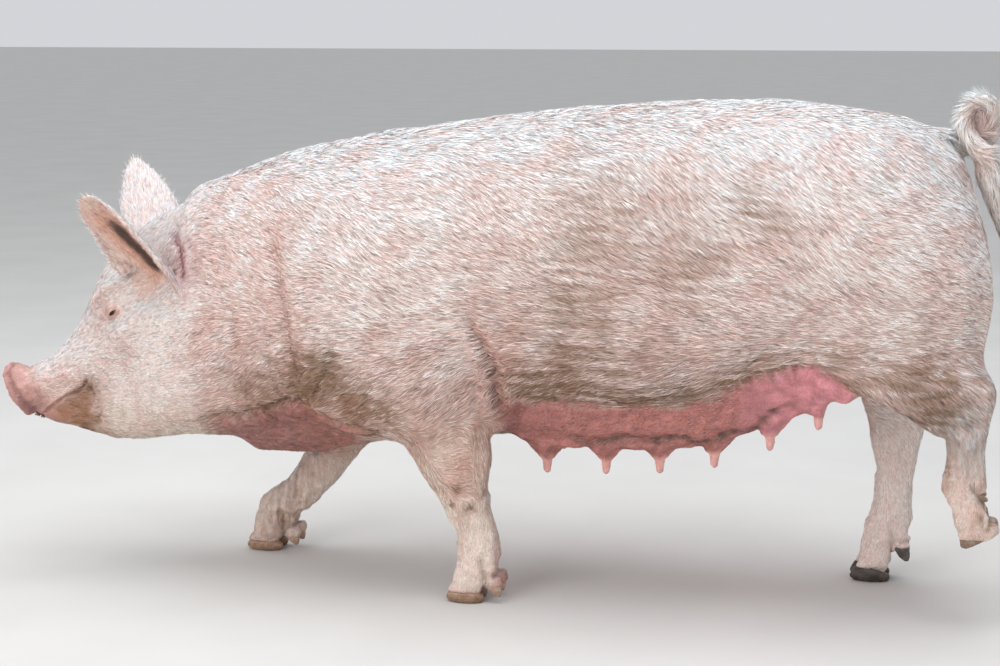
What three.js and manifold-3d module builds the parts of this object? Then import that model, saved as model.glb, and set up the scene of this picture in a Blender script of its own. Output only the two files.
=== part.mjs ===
// A full-grown white sow, walking: the left fore and right hind feet planted, the right fore foot
// just set down ahead and the left hind foot just lifted. Millimetres, +Z up, head towards -X, the
// sow's left side towards -Y, floor at z = 0. The flesh is one smooth distance field, meshed piece
// by piece and parted by thin flat cuts. The ears, tail, nipples, eyes and hooves are lofted.
import * as THREE from "three";
import { mergeVertices } from "three/addons/utils/BufferGeometryUtils.js";
import Module from "manifold-3d";

const wasm = await Module();
wasm.setup();

// ---------------------------------------------------------------- driving dimensions
const BACK = 892; // floor to the top of the loin
const BELLY = 305; // floor to the belly between the two rows of teats
const GIRTH_HALF = 238; // half the width of the trunk
const HEAD_LENGTH = 400; // poll to snout disc
const HEAD_PITCH = 28; // degrees that the face slopes down
const HEAD_TURN = 14; // degrees that the head turns to the sow's left
const TRACK = 134; // middle of the body to the middle of each foot
const CENTRE_X = 955; // middle of the sow's length, moved to x = 0 at the end
const GAP = 0.4; // width of each cut between two pieces
const COLOUR = {
  skin: 0xe6bfb0,
  pink: 0xd9938c,
  snout: 0xd99a92,
  paleHorn: 0x9a8266,
  darkHorn: 0x3b332d,
  eye: 0x2a1a12,
};

// ---------------------------------------------------------------- small maths
const rad = THREE.MathUtils.degToRad;
const clamp = THREE.MathUtils.clamp;
const mix = THREE.MathUtils.lerp;
const both = (make) => [make(-1), make(1)];

// The lower of two distances, blended where they differ by less than k.
function blend(a, b, k) {
  const h = Math.max(k - Math.abs(a - b), 0) / k;
  return Math.min(a, b) - (h * h * k) / 4;
}

// A smooth curve through (x, y) knots that doesn't overshoot them.
function curve(xs, ys) {
  const last = xs.length - 1;
  const slope = xs.slice(1).map((x, i) => (ys[i + 1] - ys[i]) / (x - xs[i]));
  const tangent = xs.map((_, i) => {
    if (i === 0 || i === last) return slope[Math.min(i, last - 1)];
    const [a, b] = [slope[i - 1], slope[i]];
    return a * b <= 0 ? 0 : (2 * a * b) / (a + b);
  });
  return (x) => {
    const p = clamp(x, xs[0], xs[last]);
    let i = 0;
    while (i < last - 1 && p > xs[i + 1]) i++;
    const w = xs[i + 1] - xs[i];
    const t = (p - xs[i]) / w;
    const u = 1 - t;
    return (
      u * u * (1 + 2 * t) * ys[i] +
      t * t * (1 + 2 * u) * ys[i + 1] +
      t * u * w * (u * tangent[i] - t * tangent[i + 1])
    );
  };
}

// A frame at a place, pitched about Y (its x axis drops) and then turned about Z.
function frameAt(place, pitch = 0, turn = 0, scale = [1, 1, 1]) {
  const frame = new THREE.Group();
  frame.position.set(...place);
  frame.rotation.set(0, rad(pitch), rad(turn), "ZYX");
  frame.scale.set(...scale);
  frame.updateMatrixWorld(true);
  return frame.matrixWorld;
}
const placed = (matrix, ...p) => new THREE.Vector3(...p).applyMatrix4(matrix).toArray();

// ---------------------------------------------------------------- distance fields
// Each field carries a sphere round its solid, so that points far from it skip it.
const bounded = (field, centre, radius) => Object.assign(field, { centre, radius });

// An ellipsoid. tilt drops its front end.
function ellipsoid(centre, radii, tilt = 0) {
  const c = Math.cos(rad(tilt));
  const s = Math.sin(rad(tilt));
  const field = (x, y, z) => {
    const [dx, dy, dz] = [x - centre[0], y - centre[1], z - centre[2]];
    const [u, w] = [dx * c + dz * s, dz * c - dx * s];
    const near = Math.hypot(u / radii[0], dy / radii[1], w / radii[2]);
    const steep = Math.hypot(u / radii[0] ** 2, dy / radii[1] ** 2, w / radii[2] ** 2);
    return steep < 1e-7 ? -Math.min(...radii) : (near * (near - 1)) / steep;
  };
  return bounded(field, centre, Math.max(...radii));
}

// A limb through joints, each with its place, its radius r seen from the side and its half width w
// seen from the front.
function limb(joints, softness = 14) {
  const points = joints.map((j) => new THREE.Vector3(...j.at));
  const middle = new THREE.Box3().setFromPoints(points).getCenter(new THREE.Vector3());
  const reach = Math.max(...joints.map((j, i) => points[i].distanceTo(middle) + j.r));
  const field = (x, y, z) => {
    let d = Infinity;
    for (let i = 0; i < joints.length - 1; i++) {
      const [a, b] = [joints[i], joints[i + 1]];
      const [ex, ey, ez] = [b.at[0] - a.at[0], b.at[1] - a.at[1], b.at[2] - a.at[2]];
      const along = (x - a.at[0]) * ex + (y - a.at[1]) * ey + (z - a.at[2]) * ez;
      const t = clamp(along / (ex * ex + ey * ey + ez * ez), 0, 1);
      const r = mix(a.r, b.r, t);
      const w = mix(a.w ?? a.r, b.w ?? b.r, t);
      const dy = ((y - a.at[1] - t * ey) * r) / w;
      const away = Math.hypot(x - a.at[0] - t * ex, dy, z - a.at[2] - t * ez);
      d = blend(d, away - r, softness);
    }
    return d;
  };
  return bounded(field, middle.toArray(), reach);
}

// A long form with a section at each station: its top, bottom and half width. pear narrows the
// section's upper part, and power squares its corners.
function hull(stations, power) {
  const at = stations.map((s) => s.at);
  const [top, bottom, half, pear] = ["top", "bottom", "half", "pear"].map((key) =>
    curve(at, stations.map((s) => s[key] ?? 0)),
  );
  return (x, y, z) => {
    const [hi, lo] = [top(x), bottom(x)];
    const [middle, tall] = [(hi + lo) / 2, (hi - lo) / 2];
    const v = (z - middle) / tall;
    const u = y / (half(x) * (1 - pear(x) * clamp(v, -1, 1)));
    const g = Math.pow(Math.abs(u) ** power + Math.abs(v) ** power, 1 / power);
    const radial = g < 0.05 ? -0.95 * tall : Math.hypot(y, z - middle) * (1 - 1 / g);
    return Math.max(radial, at[0] - x, x - at[at.length - 1]);
  };
}

function add(d, field, k, x, y, z) {
  const c = field.centre;
  const away = Math.hypot(x - c[0], y - c[1], z - c[2]) - field.radius;
  return away > Math.max(d, 0) + k ? d : blend(d, field(x, y, z), k);
}

// ---------------------------------------------------------------- trunk and neck
const TRUNK = hull(
  [
    { at: 390, top: 716, bottom: 335, half: 122, pear: 0.1 },
    { at: 450, top: 746, bottom: 312, half: 138, pear: 0.1 },
    { at: 500, top: 766, bottom: 290, half: 152, pear: 0.1 },
    { at: 600, top: 794, bottom: 272, half: 180, pear: 0.08 },
    { at: 720, top: 822, bottom: 272, half: 203, pear: 0.04 },
    { at: 860, top: 844, bottom: 284, half: 216, pear: 0.04 },
    { at: 1010, top: 864, bottom: BELLY - 4, half: 224, pear: 0.06 },
    { at: 1200, top: 882, bottom: BELLY, half: GIRTH_HALF, pear: 0.09 },
    { at: 1360, top: BACK - 1, bottom: BELLY + 18, half: GIRTH_HALF + 2, pear: 0.09 },
    { at: 1480, top: BACK - 2, bottom: BELLY + 62, half: 230, pear: 0.05 },
    { at: 1580, top: 880, bottom: BELLY + 130, half: 212, pear: 0.02 },
    { at: 1660, top: 866, bottom: BELLY + 190, half: 184 },
    { at: 1715, top: 850, bottom: BELLY + 230, half: 152 },
    { at: 1758, top: 828, bottom: BELLY + 260, half: 112 },
    { at: 1785, top: 790, bottom: BELLY + 290, half: 70 },
  ],
  2.35,
);
const CROUP = ellipsoid([1598, 0, 600], [226, 206, 226]);
const HAMS = both((side) => ellipsoid([1660, side * 100, 545], [174, 112, 228], -4));
const SHOULDERS = both((side) => ellipsoid([790, side * 140, 520], [165, 80, 235], -14));
const DEWLAP = limb(
  [
    { at: [455, 0, 306], r: 58, w: 70 },
    { at: [540, 0, 284], r: 60, w: 62 },
    { at: [660, 0, 296], r: 60, w: 66 },
    { at: [790, 0, 330], r: 56, w: 80 },
  ],
  40,
);

// ---------------------------------------------------------------- head
// The head has its own frame: s runs forward along the face, y to the left and h up from the face.
const fromHead = frameAt([400, 0, 520], HEAD_PITCH, 180 + HEAD_TURN);
const toHead = fromHead.clone().invert();

const SKULL = hull(
  [
    { at: -70, top: 150, bottom: -150, half: 112, pear: 0.2 },
    { at: 0, top: 166, bottom: -160, half: 112, pear: 0.26 },
    { at: 70, top: 156, bottom: -160, half: 106, pear: 0.26 },
    { at: 127, top: 134, bottom: -150, half: 98, pear: 0.24 },
    { at: 160, top: 112, bottom: -134, half: 90, pear: 0.2 },
    { at: 190, top: 89, bottom: -116, half: 80, pear: 0.18 },
    { at: 238, top: 54, bottom: -84, half: 62, pear: 0.12 },
    { at: 280, top: 38, bottom: -64, half: 51, pear: 0.06 },
    { at: 310, top: 33, bottom: -56, half: 46, pear: 0.04 },
    { at: 340, top: 34, bottom: -50, half: 43 },
    { at: 360, top: 40, bottom: -47, half: 44 },
    { at: 374, top: 55, bottom: -49, half: 51 },
    { at: HEAD_LENGTH - 6, top: 51, bottom: -48, half: 51 },
    { at: HEAD_LENGTH, top: 44, bottom: -42, half: 46 },
  ],
  2.15,
);
const JAW = hull(
  [
    { at: 0, top: -60, bottom: -200, half: 106 },
    { at: 90, top: -50, bottom: -224, half: 106 },
    { at: 130, top: -46, bottom: -224, half: 100 },
    { at: 177, top: -42, bottom: -212, half: 88 },
    { at: 222, top: -40, bottom: -195, half: 74 },
    { at: 270, top: -38, bottom: -167, half: 58 },
    { at: 300, top: -38, bottom: -138, half: 48 },
    { at: 333, top: -40, bottom: -107, half: 38 },
    { at: 360, top: -43, bottom: -84, half: 30 },
    { at: 376, top: -46, bottom: -66, half: 19 },
  ],
  2.1,
);
const BROWS = both((side) => ellipsoid([134, side * 70, 86], [44, 24, 24]));
const CHEEKBONES = both((side) => ellipsoid([110, side * 92, 8], [70, 24, 36]));
const JOWLS = both((side) => ellipsoid([66, side * 84, -112], [112, 58, 92]));

const HEAD = bounded(
  (x, y, z) => {
    const m = toHead.elements;
    const s = m[0] * x + m[4] * y + m[8] * z + m[12];
    const t = m[1] * x + m[5] * y + m[9] * z + m[13];
    const h = m[2] * x + m[6] * y + m[10] * z + m[14];
    let d = blend(SKULL(s, t, h), JAW(s, t, h), 24);
    for (const f of [...BROWS, ...CHEEKBONES]) d = add(d, f, 26, s, t, h);
    for (const f of JOWLS) d = add(d, f, 46, s, t, h);
    return d;
  },
  [250, -40, 470],
  360,
);

// ---------------------------------------------------------------- legs
// Joints from the body down, as [x, distance from the middle, z, side radius, half width]. foot is
// the fetlock's x and z, tip turns the foot about it and reach stretches the foot ahead.
const LEGS = {
  fore_left: {
    side: -1,
    foot: [956, 88],
    tip: 0,
    reach: 1,
    joints: [
      [874, 150, 424, 116, 62],
      [890, 150, 338, 86, 58],
      [910, 146, 252, 66, 50],
      [928, 142, 205, 50, 44],
      [940, 138, 162, 38.5, 36],
      [950, 135, 124, 36.5, 32],
      [957, TRACK, 92, 40, 34],
    ],
  },
  fore_right: {
    side: 1,
    foot: [503, 88],
    tip: 0,
    reach: 1.05,
    joints: [
      [762, 146, 424, 104, 62],
      [730, 148, 345, 78, 58],
      [656, 142, 262, 57, 48],
      [606, 138, 197, 47, 43],
      [588, 137, 164, 42, 38],
      [548, TRACK, 116, 37, 32],
      [512, TRACK, 90, 38, 34],
    ],
  },
  hind_left: {
    side: -1,
    foot: [1791, 255],
    tip: 32,
    reach: 1,
    joints: [
      [1660, 118, 560, 142, 76],
      [1602, 158, 478, 86, 56],
      [1672, 156, 440, 78, 54],
      [1748, 150, 404, 60, 44],
      [1801, 145, 384, 44, 36],
      [1798, 141, 328, 35, 32],
      [1796, 136, 292, 35, 31],
      [1790, 132, 262, 37, 33],
    ],
  },
  hind_right: {
    side: 1,
    foot: [1668, 102],
    tip: 0,
    reach: 1.08,
    joints: [
      [1640, 118, 560, 142, 76],
      [1580, 158, 476, 84, 56],
      [1634, 156, 392, 74, 54],
      [1668, 148, 318, 66, 46],
      [1678, 142, 270, 52, 40],
      [1682, 138, 226, 41, 34],
      [1681, 136, 166, 36, 31],
      [1680, 135, 122, 36.5, 32],
      [1674, TRACK, 98, 38, 34],
    ],
  },
};
const HOCKS = [
  ellipsoid([1818, -146, 406], [24, 22, 34]),
  ellipsoid([1718, 143, 306], [26, 22, 34]),
];

// A foot in its own frame: the fetlock is the origin and the toes point towards -x.
const TOE = { apart: 19.5, half: 16.5, front: -61, heel: 12, high: 36, heelHigh: 12 };
const SOLE = { fore: -88, hind: -102 };
const DEWCLAW = { apart: 21, back: 27, long: 34, lean: 14 };
const DEWCLAW_HIGH = { fore: 44, hind: 72 };
const isFore = (name) => name.startsWith("fore");
const soleOf = (name) => (isFore(name) ? SOLE.fore : SOLE.hind);
const dewclawTop = (name) => soleOf(name) + (isFore(name) ? DEWCLAW_HIGH.fore : DEWCLAW_HIGH.hind);

function footFrame(leg) {
  const [x, z] = leg.foot;
  return frameAt([x, leg.side * TRACK, z], -leg.tip, 0, [leg.reach, 1, 1]);
}

function digits(name, frame) {
  const sole = soleOf(name);
  const point = (x, y, z) => placed(frame, x, y, z);
  const fields = both((side) => [
    limb([
      { at: point(-4, side * 9, -6), r: 36, w: 24 },
      { at: point(-15, side * TOE.apart, sole + 46), r: 29, w: 17 },
      { at: point(-18, side * TOE.apart, sole + 26), r: 27, w: 16 },
    ]),
    limb([
      { at: point(12, side * 13, -4), r: 19, w: 16 },
      { at: point(DEWCLAW.back, side * DEWCLAW.apart, dewclawTop(name)), r: 14.5, w: 12.5 },
    ]),
  ]).flat();
  return bounded(
    (x, y, z) => fields.reduce((d, f) => blend(d, f(x, y, z), 8), Infinity),
    placed(frame, 0, 0, sole / 2),
    105,
  );
}

const legs = Object.entries(LEGS).map(([name, leg]) => {
  const frame = footFrame(leg);
  const joints = leg.joints.map(([x, out, z, r, w]) => ({ at: [x, leg.side * out, z], r, w }));
  return { name, frame, side: leg.side, upper: limb(joints, 8), foot: digits(name, frame) };
});

// ---------------------------------------------------------------- udder
// Six pairs of teats hang from two rows of glands, which rise towards the groin.
const TEAT_X = [1071, 1177, 1272, 1368, 1464, 1546];
const ROW_OUT = 92; // middle of the body to a row
const rowHeight = curve(
  [1000, 1071, 1180, 1300, 1400, 1480, 1580],
  [334, 326, 328, 336, 356, 390, 440],
);
const ROWS = both((side) =>
  limb(
    [1030, 1110, 1200, 1300, 1400, 1490, 1556].map((x) => ({
      at: [x, side * ROW_OUT, rowHeight(x)],
      r: x < 1060 ? 42 : 50,
      w: 58,
    })),
    12,
  ),
);
const teats = TEAT_X.flatMap((x) =>
  both((side) => ({ x, y: side * (ROW_OUT + 4), z: rowHeight(x) - 54, side })),
);
const MOUNDS = teats.map((t) =>
  limb([
    { at: [t.x - 1, t.y - t.side * 3, t.z + 34], r: 38 },
    { at: [t.x, t.y, t.z], r: 17 },
    { at: [t.x + 1, t.y, t.z - 9], r: 10 },
  ]),
);

// ---------------------------------------------------------------- the whole flesh
const FLESH = (x, y, z) => {
  let d = TRUNK(x, y, z);
  d = add(d, CROUP, 60, x, y, z);
  for (const f of [...HAMS, ...SHOULDERS]) d = add(d, f, 60, x, y, z);
  d = add(d, DEWLAP, 50, x, y, z);
  d = add(d, HEAD, 55, x, y, z);
  for (const leg of legs) d = add(d, leg.upper, 44, x, y, z);
  for (const f of HOCKS) d = add(d, f, 24, x, y, z);
  for (const leg of legs) d = add(d, leg.foot, 12, x, y, z);
  for (const f of ROWS) d = add(d, f, 24, x, y, z);
  for (const f of MOUNDS) d = add(d, f, 16, x, y, z);
  return d;
};
const FLESH_OF_HEAD = (s, y, h) => FLESH(...placed(fromHead, s, y, h));

// ---------------------------------------------------------------- meshing
// The surface where a field is zero inside a box, as a closed mesh. Each grid cell that the surface
// crosses has one vertex, and each crossed grid edge has a quad between its four cells.
function surface(field, low, high, cell) {
  const n = low.map((l, i) => Math.ceil((high[i] - l) / cell[i]) + 1);
  const index = (i, j, k) => (k * n[1] + j) * n[0] + i;
  const place = (...ijk) => ijk.map((v, m) => low[m] + v * cell[m]);
  const atRim = (...ijk) => ijk.some((v, m) => v === 0 || v === n[m] - 1);
  const grid = function* (start) {
    for (let k = start; k < n[2] - 1; k++)
      for (let j = start; j < n[1] - 1; j++) for (let i = start; i < n[0] - 1; i++) yield [i, j, k];
  };
  const value = new Float32Array(n[0] * n[1] * n[2]).fill(1);
  for (const p of grid(0)) if (!atRim(...p)) value[index(...p)] = field(...place(...p));

  const corners = [...Array(8).keys()].map((c) => [c & 1, (c >> 1) & 1, c >> 2]);
  const edges = corners.flatMap((_, a) => [1, 2, 4].filter((b) => !(a & b)).map((b) => [a, a | b]));
  const vertexOf = new Int32Array(value.length).fill(-1);
  const positions = [];
  for (const [i, j, k] of grid(0)) {
    const v = corners.map(([a, b, c]) => value[index(i + a, j + b, k + c)]);
    if (v.every((d) => d < 0) || v.every((d) => d >= 0)) continue;
    const crossed = edges.filter(([a, b]) => v[a] < 0 !== v[b] < 0);
    const middle = [0, 1, 2].map((m) => {
      const cut = ([a, b]) => mix(corners[a][m], corners[b][m], v[a] / (v[a] - v[b]));
      return crossed.reduce((sum, edge) => sum + cut(edge), 0) / crossed.length;
    });
    const p = place(i + middle[0], j + middle[1], k + middle[2]);
    const inRim = [i, j, k].some((q, m) => q < 1 || q > n[m] - 3);
    vertexOf[index(i, j, k)] = positions.length / 3;
    positions.push(...(inRim ? p : settle(field, p, place(i, j, k), cell)));
  }

  const faces = [];
  for (const [i, j, k] of grid(0)) {
    const inside = value[index(i, j, k)] < 0;
    for (let axis = 0; axis < 3; axis++) {
      const step = [0, 1, 2].map((m) => (m === axis ? 1 : 0));
      if (inside === value[index(i + step[0], j + step[1], k + step[2])] < 0) continue;
      const [u, w] = [(axis + 1) % 3, (axis + 2) % 3];
      const around = [[0, 0], [1, 0], [1, 1], [0, 1]].map(([a, b]) => {
        const c = [i, j, k];
        c[u] -= a;
        c[w] -= b;
        return vertexOf[index(...c)];
      });
      const [a, b, c, d] = inside ? around : around.reverse();
      faces.push(a, b, c, a, c, d);
    }
  }
  return new THREE.BufferGeometry()
    .setAttribute("position", new THREE.Float32BufferAttribute(positions, 3))
    .setIndex(faces);
}

// Moves a point onto the surface along the field's slope, and keeps it in its own cell.
function settle(field, p, corner, cell) {
  const e = 0.5;
  const slope = [0, 1, 2].map((m) => {
    const [a, b] = [[...p], [...p]];
    a[m] += e;
    b[m] -= e;
    return (field(...a) - field(...b)) / (2 * e);
  });
  const steep = Math.max(slope[0] ** 2 + slope[1] ** 2 + slope[2] ** 2, 0.1);
  const step = field(...p) / steep;
  const inCell = (v, m) => clamp(v, corner[m] + 0.03 * cell[m], corner[m] + 0.97 * cell[m]);
  return p.map((v, m) => inCell(v - step * slope[m], m));
}

function toSolid(geometry, matrix = new THREE.Matrix4()) {
  const bare = geometry.clone();
  bare.deleteAttribute("normal");
  bare.deleteAttribute("uv");
  bare.applyMatrix4(matrix);
  const merged = mergeVertices(bare, 1e-3);
  const all = merged.index.array;
  const triVerts = [];
  for (let i = 0; i < all.length; i += 3) {
    const [a, b, c] = all.slice(i, i + 3);
    if (a !== b && b !== c && c !== a) triVerts.push(a, b, c);
  }
  return new wasm.Manifold(
    new wasm.Mesh({
      numProp: 3,
      vertProperties: new Float32Array(merged.attributes.position.array),
      triVerts: new Uint32Array(triVerts),
    }),
  );
}

function toGeometry(solid) {
  const mesh = solid.getMesh();
  return new THREE.BufferGeometry()
    .setAttribute("position", new THREE.Float32BufferAttribute(mesh.vertProperties, 3))
    .setIndex(new THREE.BufferAttribute(mesh.triVerts, 1));
}

const flesh = (low, high, cell) => toSolid(surface(FLESH, low, high, cell));
const headFlesh = (low, high, cell) => toSolid(surface(FLESH_OF_HEAD, low, high, cell), fromHead);

// The same flesh with its skin pushed out, to trim what grows from it.
function grown(geometry, amount) {
  const g = geometry.clone();
  g.computeVertexNormals();
  const [p, normal] = [g.attributes.position, g.attributes.normal];
  for (let i = 0; i < p.count; i++)
    p.setXYZ(
      i,
      p.getX(i) + amount * normal.getX(i),
      p.getY(i) + amount * normal.getY(i),
      p.getZ(i) + amount * normal.getZ(i),
    );
  return g;
}

// A solid box between two corners of a frame, larger by extra on every side.
function box(low, high, extra = 0, matrix = new THREE.Matrix4()) {
  const size = high.map((v, m) => v - low[m] + 2 * extra);
  const g = new THREE.BoxGeometry(...size);
  g.translate(...high.map((v, m) => (v + low[m]) / 2));
  return toSolid(g, matrix);
}

// All that lies beyond a plane, on the +x side of its frame, or all that lies before it.
const beyond = (place, pitch, offset, before = false) =>
  box(
    before ? [-3000, -1500, -1500] : [offset, -1500, -1500],
    before ? [offset, 1500, 1500] : [3000, 1500, 1500],
    0,
    frameAt(place, pitch),
  );

// A solid with a profile in x and z, spanning y from -half to half.
function prism(profile, half, matrix = new THREE.Matrix4()) {
  const shape = new THREE.Shape(profile.map(([x, z]) => new THREE.Vector2(x, z)));
  const g = new THREE.ExtrudeGeometry(shape, { depth: 2 * half, bevelEnabled: false });
  g.rotateX(Math.PI / 2);
  g.translate(0, half, 0);
  return toSolid(g, matrix);
}

// A closed form through rings of points. caps(n) gives the triangles that close a ring of n points.
function loft(rings, caps) {
  const n = rings[0].length;
  const faces = [];
  for (let r = 0; r < rings.length - 1; r++)
    for (let i = 0; i < n; i++) {
      const [a, b] = [r * n + i, r * n + ((i + 1) % n)];
      faces.push(a, b, b + n, a, b + n, a + n);
    }
  const last = (rings.length - 1) * n;
  for (const [a, b, c] of caps(n)) faces.push(a, c, b, last + a, last + b, last + c);
  const g = new THREE.BufferGeometry()
    .setAttribute("position", new THREE.Float32BufferAttribute(rings.flat(2), 3))
    .setIndex(faces);
  if (toSolid(g).volume() < 0) g.setIndex([...faces].reverse());
  return g;
}
const fan = (n) => [...Array(n - 2).keys()].map((i) => [0, i + 1, i + 2]);
const strip = (n) =>
  [...Array(n / 2 - 1).keys()].flatMap((i) => [
    [i, i + 1, n - 2 - i],
    [i, n - 2 - i, n - 1 - i],
  ]);

// A ring of n points at angles round a centre, each placed by where(cos, sin).
const ring = (n, where) =>
  [...Array(n).keys()].map((i) => {
    const angle = (2 * Math.PI * (i + 0.5)) / n;
    return where(Math.cos(angle), Math.sin(angle));
  });

const model = new THREE.Group();
model.name = "walking_sow";
model.position.x = -CENTRE_X;
function piece(name, shape, colour, roughness = 0.75) {
  const geometry = shape.isBufferGeometry ? shape : toGeometry(shape);
  const material = new THREE.MeshStandardMaterial({ color: colour, roughness, metalness: 0 });
  const mesh = new THREE.Mesh(geometry, material);
  mesh.name = name;
  model.add(mesh);
}

// ---------------------------------------------------------------- where the pieces part
const cuts = {
  head: (...side) => beyond([428, 0, 500], 0, ...side),
  neck: (...side) => beyond([628, 0, 520], -14, ...side),
  chest: (...side) => beyond([1016, 0, 500], 0, ...side),
  abdomen: (...side) => beyond([1452, 0, 500], 0, ...side),
};
const LEG_ROOM = {
  fore_left: [[768, -400, -50], [1013, -66, 332]],
  fore_right: [[592, 66, -50], [856, 400, 332]],
  hind_left: [[1536, -400, -50], [1960, -63, 447]],
  hind_right: [[1486, 62, -50], [1810, 400, 404]],
};
const LOWER_LEG = {
  fore_left: [800, 1040],
  fore_right: [400, 740],
  hind_left: [1700, 1900],
  hind_right: [1590, 1780],
};
const LEG_CUTS = {
  fore_left: [196, 108],
  fore_right: [196, 108],
  hind_left: [352, 270],
  hind_right: [284, 126],
};
const legRoom = (name, extra) => box(...LEG_ROOM[name], extra);
const udderRoom = (e) =>
  prism(
    [
      [1018 - e, 340 + e],
      [1300, 352 + e],
      [1400, 374 + e],
      [1500, 412 + e],
      [1592 + e, 458 + e],
      [1592 + e, 100],
      [1018 - e, 100],
    ],
    128 + e,
  );
// The groin is a hollow between the udder and the thighs, wider on the side of the lifted leg.
const UDDER_REAR = [
  [1563, 200],
  [1568, 322],
  [1582, 343],
  [1596, 385],
];
const THIGH_FRONT = {
  left: [
    [1614, 406],
    [1649, 392],
    [1682, 376],
    [1715, 352],
    [1735, 341],
    [1740, 200],
  ],
  right: [
    [1605, 395],
    [1612, 380],
    [1616, 345],
    [1632, 290],
    [1650, 200],
  ],
};
const groins = both((side) => {
  const front = side < 0 ? THIGH_FRONT.left : THIGH_FRONT.right;
  return prism([...UDDER_REAR, ...front], 200, frameAt([0, side * 200 - 5, 0]));
});
const jawRoom = (e) =>
  prism(
    [
      [262 - e, -33 + e],
      [306, -38 + e],
      [345, -43 + e],
      [470, -50 + e],
      [470, -260],
      [262 - e, -260],
    ],
    150,
    fromHead,
  );
const snoutRoom = (offset) => box([356 + offset, -150, -150], [600, 150, 150], 0, fromHead);

// ---------------------------------------------------------------- trunk pieces
const without = (solid, ...cutters) => cutters.reduce((s, c) => s.subtract(c), solid);
const half = GAP / 2;
const trunkSurface = surface(FLESH, [250, -363, 104], [1990, 363, 1034], [94, 70, 68]);
const trunk = toSolid(trunkSurface);
const trunkPiece = (name, ...cutters) => piece(name, without(trunk, ...cutters), COLOUR.skin);

trunkPiece(
  "neck",
  cuts.head(half, true),
  cuts.neck(-half),
  legRoom("fore_right", half),
  box([300, 62, -50], [600, 400, 286]),
);
trunkPiece(
  "chest",
  cuts.neck(half, true),
  cuts.chest(-half),
  legRoom("fore_left", half),
  legRoom("fore_right", half),
  box([300, 62, -50], [600, 400, 286]),
);
trunkPiece("abdomen", cuts.chest(half, true), cuts.abdomen(-half), udderRoom(half));
trunkPiece(
  "rump",
  cuts.abdomen(half, true),
  udderRoom(half),
  legRoom("hind_left", half),
  legRoom("hind_right", half),
  ...groins,
);

// ---------------------------------------------------------------- udder with its nipples
const nippleProfile = [
  [0, 46],
  [42, 28],
  [26, 9],
  [11, -7],
  [8, -28],
  [0, -34],
].map(([r, z]) => new THREE.Vector2(r, z));
const nipple = new THREE.LatheGeometry(nippleProfile.reverse(), 5).rotateX(Math.PI / 2);
const nipples = teats.map((t) => toSolid(nipple, frameAt([t.x, t.y, t.z - 12])));
piece(
  "udder",
  without(
    nipples
      .reduce((solid, n) => solid.add(n), flesh([934, -215, 170], [1670, 215, 520], [62, 40, 40]))
      .intersect(udderRoom(-half)),
    ...groins,
  ),
  COLOUR.pink,
);

// ---------------------------------------------------------------- head, snout and jaw
const headSurface = surface(FLESH_OF_HEAD, [-195, -224, -347], [455, 204, 275], [40, 36, 36]);
const EYE = { s: 146, h: 54, radius: 12.5, sunk: 7.8 };
const headMesh = new THREE.Mesh(headSurface, new THREE.MeshBasicMaterial({ side: THREE.DoubleSide }));
const eyes = both((side) => {
  const outside = new THREE.Vector3(EYE.s, side * 300, EYE.h);
  const inwards = new THREE.Vector3(0, -side, 0);
  const skin = new THREE.Raycaster(outside, inwards).intersectObject(headMesh)[0].point;
  return { side, at: placed(fromHead, EYE.s, skin.y - side * EYE.sunk, EYE.h) };
});
const eyeball = (radius) => new THREE.SphereGeometry(radius, 9, 6).rotateX(Math.PI / 2);
piece(
  "head",
  without(
    toSolid(headSurface, fromHead),
    cuts.head(-half),
    jawRoom(half),
    snoutRoom(-half),
    ...eyes.map((eye) => toSolid(eyeball(EYE.radius + GAP), frameAt(eye.at))),
  ),
  COLOUR.skin,
);
for (const eye of eyes)
  piece(
    eye.side > 0 ? "eye_left" : "eye_right",
    eyeball(EYE.radius).applyMatrix4(frameAt(eye.at)),
    COLOUR.eye,
    0.2,
  );
const nostrils = both((side) => {
  const g = new THREE.SphereGeometry(1, 8, 6).scale(26, 7.5, 9.5);
  return toSolid(g.translate(HEAD_LENGTH, side * 19, 6), fromHead);
});
piece(
  "snout",
  without(
    headFlesh([318, -76, -90], [430, 76, 88], [17, 15.5, 15.5]).intersect(snoutRoom(half)),
    jawRoom(half),
    ...nostrils,
  ),
  COLOUR.snout,
);
piece(
  "jaw",
  headFlesh([206, -100, -232], [414, 100, 0], [24, 22, 23]).intersect(jawRoom(-half)),
  COLOUR.skin,
);

// ---------------------------------------------------------------- ears
// An ear is a trough from root to tip. At each station its half width, its depth and its shift away
// from the opening are given. The opening faces along open.
function ear({ root, tip, open, stations, thick }) {
  const [from, to] = [new THREE.Vector3(...root), new THREE.Vector3(...tip)];
  const axis = to.clone().sub(from).normalize();
  const face = new THREE.Vector3(...open).addScaledVector(axis, -axis.dot(new THREE.Vector3(...open)));
  face.normalize();
  const across = axis.clone().cross(face);
  const rings = stations.map(({ t, wide, deep, back = 0 }) => {
    const centre = from.clone().lerp(to, t).addScaledVector(face, -back);
    const arc = (grow) =>
      [...Array(6).keys()].map((i) => {
        const angle = rad(-85 + i * 34);
        return centre
          .clone()
          .addScaledVector(across, (wide + grow) * Math.sin(angle))
          .addScaledVector(face, -(deep + grow) * Math.cos(angle))
          .toArray();
      });
    return [...arc(thick / 2), ...arc(-thick / 2).reverse()];
  });
  return loft(rings, strip);
}
const headTrim = toSolid(grown(headSurface, GAP), fromHead);
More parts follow.
